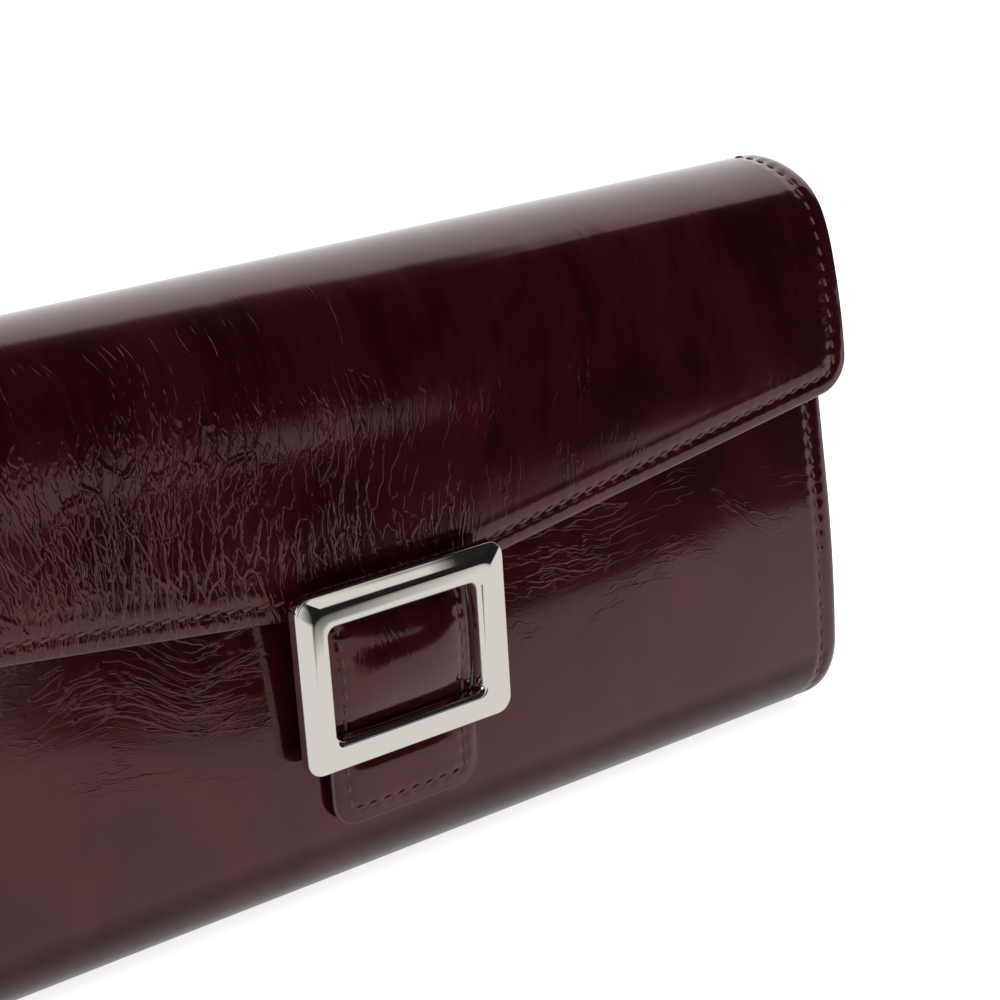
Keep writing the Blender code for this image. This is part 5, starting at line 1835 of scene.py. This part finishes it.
@dataclass
class Zip:
    """The coin pocket's zip: woven tapes, teeth, stops, a slider and its pull."""

    finishes: Finishes
    middle_y: float
    pitch: float = 3.0 * MM
    tooth_height: float = 1.6 * MM
    chain_half: float = 2.0 * MM
    gap_half: float = 0.42 * MM
    cord_y: float = 1.75 * MM
    cord_half: float = 0.42 * MM
    tape_outer: float = 2.5 * MM
    tape_drop: float = 7.0 * MM
    plate: float = 0.7 * MM
    plate_gap: float = 0.2 * MM
    bridge_reach: float = 2.45 * MM
    bridge_rise: float = 2.22 * MM
    bridge_half: tuple = (0.62 * MM, 0.36 * MM)
    eye_reach: float = 2.25 * MM
    eye_half: tuple = (1.60 * MM, 1.15 * MM)
    pull_half: float = 2.15 * MM

    @property
    def z(self) -> float:
        """The chain's middle height."""
        return (low("zip_teeth_front").z + high("zip_teeth_front").z) / 2

    def tape(self, way: float, node: str) -> None:
        """One tape: flat beside the chain, round a small bend, then down inside the pocket's wall."""
        bend = np.linspace(np.pi / 2, 0, 7)
        radius = 0.30 * MM
        y = np.concatenate([[1.95 * MM, 2.1 * MM], self.tape_outer - radius + radius * np.cos(bend)])
        z = np.concatenate([[0.18 * MM] * 2, 0.18 * MM - radius + radius * np.sin(bend)])
        down = np.linspace(0.6 * MM, self.tape_drop, 12)
        y, z = np.concatenate([y, np.full(12, self.tape_outer)]), np.concatenate([z, -down])
        half = high(node).x
        x = np.linspace(-half, half, 60)
        points = np.stack(np.broadcast_arrays(
            x[None, :], (self.middle_y + way * y)[:, None], (self.z + z)[:, None]), axis=-1)
        normal = facing(points)
        normal = normal * np.sign(normal[-1, 0, 1] * way)
        sheet = Sheet(outer=points, normal=normal, thickness=0.36 * MM, bulge=0.06 * MM,
                      surface_map=points[..., [0, 2]])
        piece = sheet.surface().make(f"{node}_woven", [self.finishes.tape] * 3)
        fitted(piece, "middle", Slot.TAPE, node)

    def teeth(self, way: float, node: str, shift: float) -> None:
        """One row of teeth: rounded blocks at every pitch, on a cord along the tape's edge."""
        half = high(node).x
        x = np.arange(-half + 1.3 * MM + shift, half - 1.0 * MM, self.pitch)
        reach = (self.chain_half - self.gap_half) / 2
        y = self.middle_y + way * (self.gap_half + reach)
        at = np.stack([x, np.full(len(x), y), np.full(len(x), self.z)], axis=1)
        blocks = rounded_block(at, (0.82 * MM, reach, self.tooth_height / 2))
        line = np.linspace(-half, half, 40)
        cord_y = self.middle_y + way * self.cord_y
        centres = np.stack([line, np.full(40, cord_y), np.full(40, self.z)], axis=1)
        width = np.full(40, self.cord_half)
        width[[0, -1]] = 0.2 * MM
        across, upward = np.tile([0.0, 1.0, 0.0], (40, 1)), np.tile([0.0, 0.0, 1.0], (40, 1))
        cord = closed_tubes(tube_rings(centres, across, upward, width, width, 8)[None])
        piece = joined(blocks, cord).make(f"{node}_row", [self.finishes.zip_metal], sharp=60)
        fitted(piece, "middle", Slot.ZIP_METAL, node)

    def stop(self, node: str) -> None:
        """A pressed end stop."""
        lowest, highest = low(node), high(node)
        middle, half = (lowest + highest) / 2, (highest - lowest) / 2
        piece = rounded_block(np.array([middle]), tuple(half), 0.35, 20, 9)
        made = piece.make(f"{node}_pressed", [self.finishes.zip_metal])
        fitted(made, "middle", Slot.ZIP_METAL, node)

    def slider(self) -> None:
        """The slider: an upper and a lower plate, a post between them and a bridge for the pull."""
        node = "zip_slider"
        lowest, highest = low(node), high(node)
        x, y, half = (lowest.x + highest.x) / 2, self.middle_y, (highest.x - lowest.x) / 2
        gap = self.tooth_height / 2 + self.plate_gap
        inner, outer = self.z + gap, self.z + gap + self.plate
        upper = slab(*rounded_outline((x, y), (half, 2.6 * MM)), inner, outer, 0.2 * MM)
        inner, outer = self.z - gap, self.z - gap - self.plate
        under = slab(*rounded_outline((x, y), (half, 1.9 * MM)), outer, inner, 0.2 * MM)
        reach, post_half = gap + 0.1 * MM, (half - 0.6 * MM, 0.27 * MM)
        post = slab(*rounded_outline((x, y), post_half), self.z - reach, self.z + reach, 0.02 * MM)
        t = np.linspace(0, np.pi, 24)
        foot = self.z + gap + self.plate - 0.2 * MM
        along = x - self.bridge_reach * squared(np.cos(t), 0.45)
        centres = np.stack([along, np.full(24, y), foot + self.bridge_rise * np.sin(t) ** 0.35], axis=1)
        across = np.tile([0.0, 1.0, 0.0], (24, 1))
        upward = unit(np.cross(unit(np.gradient(centres, axis=0)), across))
        wide, thick = (np.full(24, half) for half in self.bridge_half)
        bridge = closed_tubes(tube_rings(centres, across, upward, wide, thick, 12)[None])
        whole = joined(upper, under, post, bridge)
        piece = whole.make("zip_slider_body", [self.finishes.zip_metal], sharp=35)
        fitted(piece, "zip_slider", Slot.ZIP_METAL, node)

    def pull(self) -> None:
        """The pull: a flat drop with an eye that goes round the bridge.

        Its outline and its eye are joined ring by ring, angle for angle, round the eye's middle.
        """
        node = "zip_pull"
        lowest, highest = low(node), high(node)
        eye = np.array([highest.x - self.eye_reach, self.middle_y])
        turn = 2 * np.pi * (np.arange(72) + 0.5) / 72
        cosine, sine = np.cos(turn), np.sin(turn)
        window = eye + np.stack([squared(cosine, 0.5), squared(sine, 0.5)], axis=1) * np.array(self.eye_half)
        reach = np.where(cosine < 0, eye[0] - lowest.x, self.eye_reach)
        outline = eye + np.stack([
            reach * squared(cosine, 0.55), self.pull_half * squared(sine, np.where(cosine < 0, 0.22, 0.5)),
        ], axis=1)
        bottom, top, bevel = lowest.z, highest.z, 0.18 * MM
        section = ((0.06, bottom), (0.0, bottom + bevel), (0.0, top - bevel), (0.06, top), (0.5, top),
                   (0.92, top), (1.0, top - bevel), (1.0, bottom + bevel), (0.92, bottom), (0.5, bottom))
        rings = [
            np.column_stack([outline + (window - outline) * share, np.full(72, z)]) for share, z in section
        ]
        points = np.concatenate(rings)
        faces = grid_faces(len(section), 72, closed_rows=True, closed_columns=True)
        piece = Surface(points, [faces]).make("zip_pull_drop", [self.finishes.zip_metal], sharp=35)
        fitted(piece, "zip_pull", Slot.ZIP_METAL, node)

    def make(self) -> None:
        """Builds the whole zip."""
        self.tape(-1.0, "zip_tape_front")
        self.tape(1.0, "zip_tape_back")
        self.teeth(-1.0, "zip_teeth_front", 0.0)
        self.teeth(1.0, "zip_teeth_back", self.pitch / 2)
        self.stop("zip_stop_left")
        self.stop("zip_stop_right")
        self.slider()
        self.pull()


# ---- the studio ----


@dataclass
class Studio:
    """A pale floor, soft lights and the camera."""

    place: tuple = (-0.17751, -0.29343, 0.17841)
    azimuth: float = 35.41
    elevation: float = 19.089
    roll: float = 3.610
    lens: float = 84.2
    floor_shine: float = 0.86
    wall_radius: float = 1.5

    def camera(self) -> None:
        """The camera, looking down at the wallet from its left, rolled a little."""
        turn, tilt, roll = (math.radians(value) for value in (self.azimuth, self.elevation, self.roll))
        forward = Vector((math.sin(turn) * math.cos(tilt), math.cos(turn) * math.cos(tilt), -math.sin(tilt)))
        level = Vector((math.cos(turn), -math.sin(turn), 0.0))
        upward = level.cross(forward)
        right = level * math.cos(roll) - upward * math.sin(roll)
        up = upward * math.cos(roll) + level * math.sin(roll)
        data = bpy.data.cameras.new("camera")
        data.lens, data.sensor_width = self.lens, 36.0
        data.clip_start = 0.01
        camera = bpy.data.objects.new("camera", data)
        facing_wallet = Matrix((right, up, -forward)).transposed().to_4x4()
        camera.matrix_world = Matrix.Translation(self.place) @ facing_wallet
        bpy.context.scene.collection.objects.link(camera)
        bpy.context.scene.camera = camera

    def floor(self) -> None:
        """The floor, a pale surround that only the camera sees, and what only reflections see."""
        floor = self._stage_sheet("studio_floor", (0.0, 0.0, -0.0003), (3.4, 3.4), (0.80, 0.80, 0.80), 0.85)
        floor.visible_glossy = False
        self._floor_shine()
        surround = self._stage_sheet("studio_surround", (0.0, 0.0, -0.02), (60.0, 60.0), (0.9, 0.9, 0.9), 1.1)
        surround.visible_glossy = surround.visible_diffuse = surround.visible_shadow = False
        self._glow_wall("studio_backdrop", (-8.0, 188.0), 2.25, 0.22, 1.0)
        self._glow_wall("studio_front_card", (-132.0, -57.6), 0.26, 0.13, 0.85, 0.035, 0.5)
        self._dark_card()

    def _glow_wall(
        self, name: str, span: tuple, height: float, fade: float, glow: float, end_fade: float = 0.10,
        end_height: float = 1.0,
    ) -> None:
        """A pale curved wall that only reflections see, and whose glow fades out near its rim and its ends.

        Args:
            name: The wall's name.
            span: Its first and last direction, in degrees from +X.
            height: Its height in metres.
            fade: How far the glow takes to fade out.
            glow: Its brightness.
            end_fade: How far it takes to fade out at its ends.
            end_height: The share of its height that it keeps towards its last direction.
        """
        radius = self.wall_radius
        angle = np.radians(np.linspace(*span, 60))[None, :]
        z = np.linspace(0.0, height, 24)[:, None]
        points = np.stack(np.broadcast_arrays(radius * np.cos(angle), radius * np.sin(angle), z), axis=-1)
        ends = np.minimum(angle - angle[0, 0], angle[0, -1] - angle) * radius
        top = height * (1.0 - (1.0 - end_height) * smooth(angle[0, -1] - 0.15, angle[0, -1] - 0.05, angle))
        strength = glow * smooth(1.0, 1.0 - fade / height, z / top) * smooth(0.0, end_fade, ends)
        surface = Surface(points.reshape(-1, 3), [grid_faces(24, 60)], values={"glow": strength.reshape(-1)})
        self._glowing(surface, name)

    def _floor_shine(self) -> None:
        """The floor as reflections see it: evenly pale, but dark where the wallet stands and shades it."""
        rims = [(0.0, 0.45), (0.012, 1.0), (1.60, 1.0)]
        lowest, highest = CAD_BOX
        corners = np.array([(-1.0, -1.0), (1.0, -1.0), (1.0, 1.0), (-1.0, 1.0)])
        middle = np.array([0.0, (lowest.y + highest.y) / 2])
        half = np.array([highest.x, (highest.y - lowest.y) / 2])
        outlines = np.stack([middle + corners * (half + reach) for reach, _ in rims])
        glow = [self.floor_shine * share for _, share in rims]
        self._glowing(self._nested(outlines, -0.0004, "glow", glow), "studio_floor_shine")

    @staticmethod
    def _nested(outlines: Array, z: float, name: str, values: list[float]) -> Surface:
        """A level sheet of outlines inside one another, the innermost filled, with a value at each."""
        rings, count = outlines.shape[:2]
        points = np.column_stack([outlines.reshape(-1, 2), np.full(rings * count, z)])
        faces = [grid_faces(rings, count, closed_columns=True), np.arange(count)[None]]
        return Surface(points, faces, values={name: np.repeat(values, count)})

    def _glowing(self, surface: Surface, name: str) -> None:
        """Makes a surface that shines as its attribute glow says, seen only in reflections."""
        nodes = Nodes(name)
        shine = nodes.add("Attribute", attribute_name="glow").outputs["Fac"]
        nodes.fill(nodes.shader, {
            "Base Color": (0.0, 0.0, 0.0, 1.0), "Specular IOR Level": 0.0,
            "Emission Color": (1.0, 0.99, 0.99, 1.0), "Emission Strength": shine,
        })
        piece = surface.make(name, [nodes.material])
        piece.visible_camera = piece.visible_diffuse = piece.visible_shadow = False
        piece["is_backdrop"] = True

    def _dark_card(self) -> None:
        """A dark card on the floor to the front right, seen only in reflections, with a soft edge."""
        inside = np.array([
            (0.045, -0.128), (0.150, -0.163), (0.260, -0.200), (0.90, -0.360), (1.60, -1.78), (0.64, -1.78),
            (0.120, -0.45), (0.024, -0.190),
        ])
        outside = np.array([
            (0.010, -0.100), (0.125, -0.136), (0.235, -0.173), (1.00, -0.290), (1.75, -1.90), (0.52, -1.90),
            (0.080, -0.46), (-0.010, -0.190),
        ])
        nodes = Nodes("studio_dark_card")
        clear = nodes.add("BsdfTransparent").outputs[0]
        cover_value = nodes.add("Attribute", attribute_name="cover").outputs["Fac"]
        nodes.fill(nodes.shader, {"Base Color": (0.015, 0.015, 0.015, 1.0), "Specular IOR Level": 0.0})
        mixed = nodes.add("MixShader", {0: cover_value, 1: clear, 2: nodes.shader.outputs[0]}).outputs[0]
        nodes.tree.links.new(mixed, nodes.tree.nodes["Material Output"].inputs["Surface"])
        surface = self._nested(np.stack([inside, outside]), 0.001, "cover", [1.0, 0.0])
        card = surface.make("studio_dark_card", [nodes.material])
        card.visible_camera = card.visible_diffuse = card.visible_shadow = False
        card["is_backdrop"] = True

    def _stage_sheet(self, name: str, at: tuple, size: tuple, colour: tuple, glow: float) -> Piece:
        """A level sheet of the stage, which may glow a little so that it stays pale all over."""
        mesh = bpy.data.meshes.new(name)
        wide, deep = size[0] / 2, size[1] / 2
        corners = [(sx * wide, sy * deep, 0.0) for sx, sy in ((-1, -1), (1, -1), (1, 1), (-1, 1))]
        mesh.from_pydata(corners, [], [(0, 1, 2, 3)])
        nodes = Nodes(name)
        nodes.fill(nodes.shader, {
            "Base Color": (*colour, 1.0), "Roughness": 0.9, "Specular IOR Level": 0.0,
            "Emission Color": (1.0, 1.0, 1.0, 1.0), "Emission Strength": glow,
        })
        mesh.materials.append(nodes.material)
        sheet = bpy.data.objects.new(name, mesh)
        sheet.location = at
        bpy.context.scene.collection.objects.link(sheet)
        sheet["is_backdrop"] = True
        return sheet

    def _softbox(self, name: str, at: tuple, aim: tuple, size: tuple, power: float) -> None:
        """A rectangular soft light that points from one place at another."""
        data = bpy.data.lights.new(name, "AREA")
        data.shape, data.size, data.size_y, data.energy = "RECTANGLE", size[0], size[1], power
        light = bpy.data.objects.new(name, data)
        light.location = at
        light.rotation_euler = (Vector(aim) - Vector(at)).to_track_quat("-Z", "Y").to_euler()
        bpy.context.scene.collection.objects.link(light)

    def lights(self) -> None:
        """A fill from above that leaves no reflection, a low side light, and a dark room."""
        self._softbox("softbox_left", (-0.9, -0.35, 0.45), (0.0, 0.0, 0.05), (0.35, 0.5), 1.2)
        data = bpy.data.lights.new("sky_fill", "SUN")
        data.energy, data.angle = 3.0, math.radians(110)
        sun = bpy.data.objects.new("sky_fill", data)
        sun.rotation_euler = (0.0, 0.0, 0.0)
        sun.visible_glossy = False
        bpy.context.scene.collection.objects.link(sun)
        world = bpy.data.worlds.new("dark_room")
        world.use_nodes = True
        world.node_tree.nodes["Background"].inputs["Color"].default_value = (0.020, 0.019, 0.020, 1.0)
        bpy.context.scene.world = world
        bpy.context.scene.view_settings.view_transform = "Standard"


def main() -> None:
    """Builds the wallet from the outside in, then the studio."""
    logging.basicConfig(level=logging.INFO, format="%(name)s: %(message)s")
    finishes, folds = Finishes(), Folds()
    flap = Flap(finishes, folds.flap)
    flap.leather()
    flap.lining()
    flap.stitching()
    body = Body(finishes, folds)
    body.front()
    body.back()
    body.linings()
    body.stitching()
    buckle = Buckle(finishes)
    buckle.frame()
    tab = Tab(finishes, buckle)
    tab.leather()
    tab.backing()
    tab.stitching()
    stud = PressStud(finishes)
    stud.stud()
    stud.socket()
    for number in range(1, 5):
        post = bpy.data.objects[f"buckle_post_{number}"]
        post.data.materials.clear()
        post.data.materials.append(finishes.nickel)
    walls = SideWalls(finishes)
    walls.wall(Side.LEFT, "gusset_left")
    walls.wall(Side.RIGHT, "gusset_right")
    slots = CardSlots(finishes)
    slots.side("front", 3, False)
    slots.side("back", 4, True)
    pocket = CoinPocket(finishes)
    pocket.wall(-1.0, "coin_pocket_front")
    pocket.wall(1.0, "coin_pocket_back")
    pocket.stitching()
    pocket.binding(Side.LEFT, ["coin_pocket_end_left"])
    pocket.binding(Side.RIGHT, ["coin_pocket_end_right", "coin_pocket_seam_strip"])
    Zip(finishes, pocket.middle_y).make()
    studio = Studio()
    studio.camera()
    studio.floor()
    studio.lights()


if __name__ == "__main__":
    main()
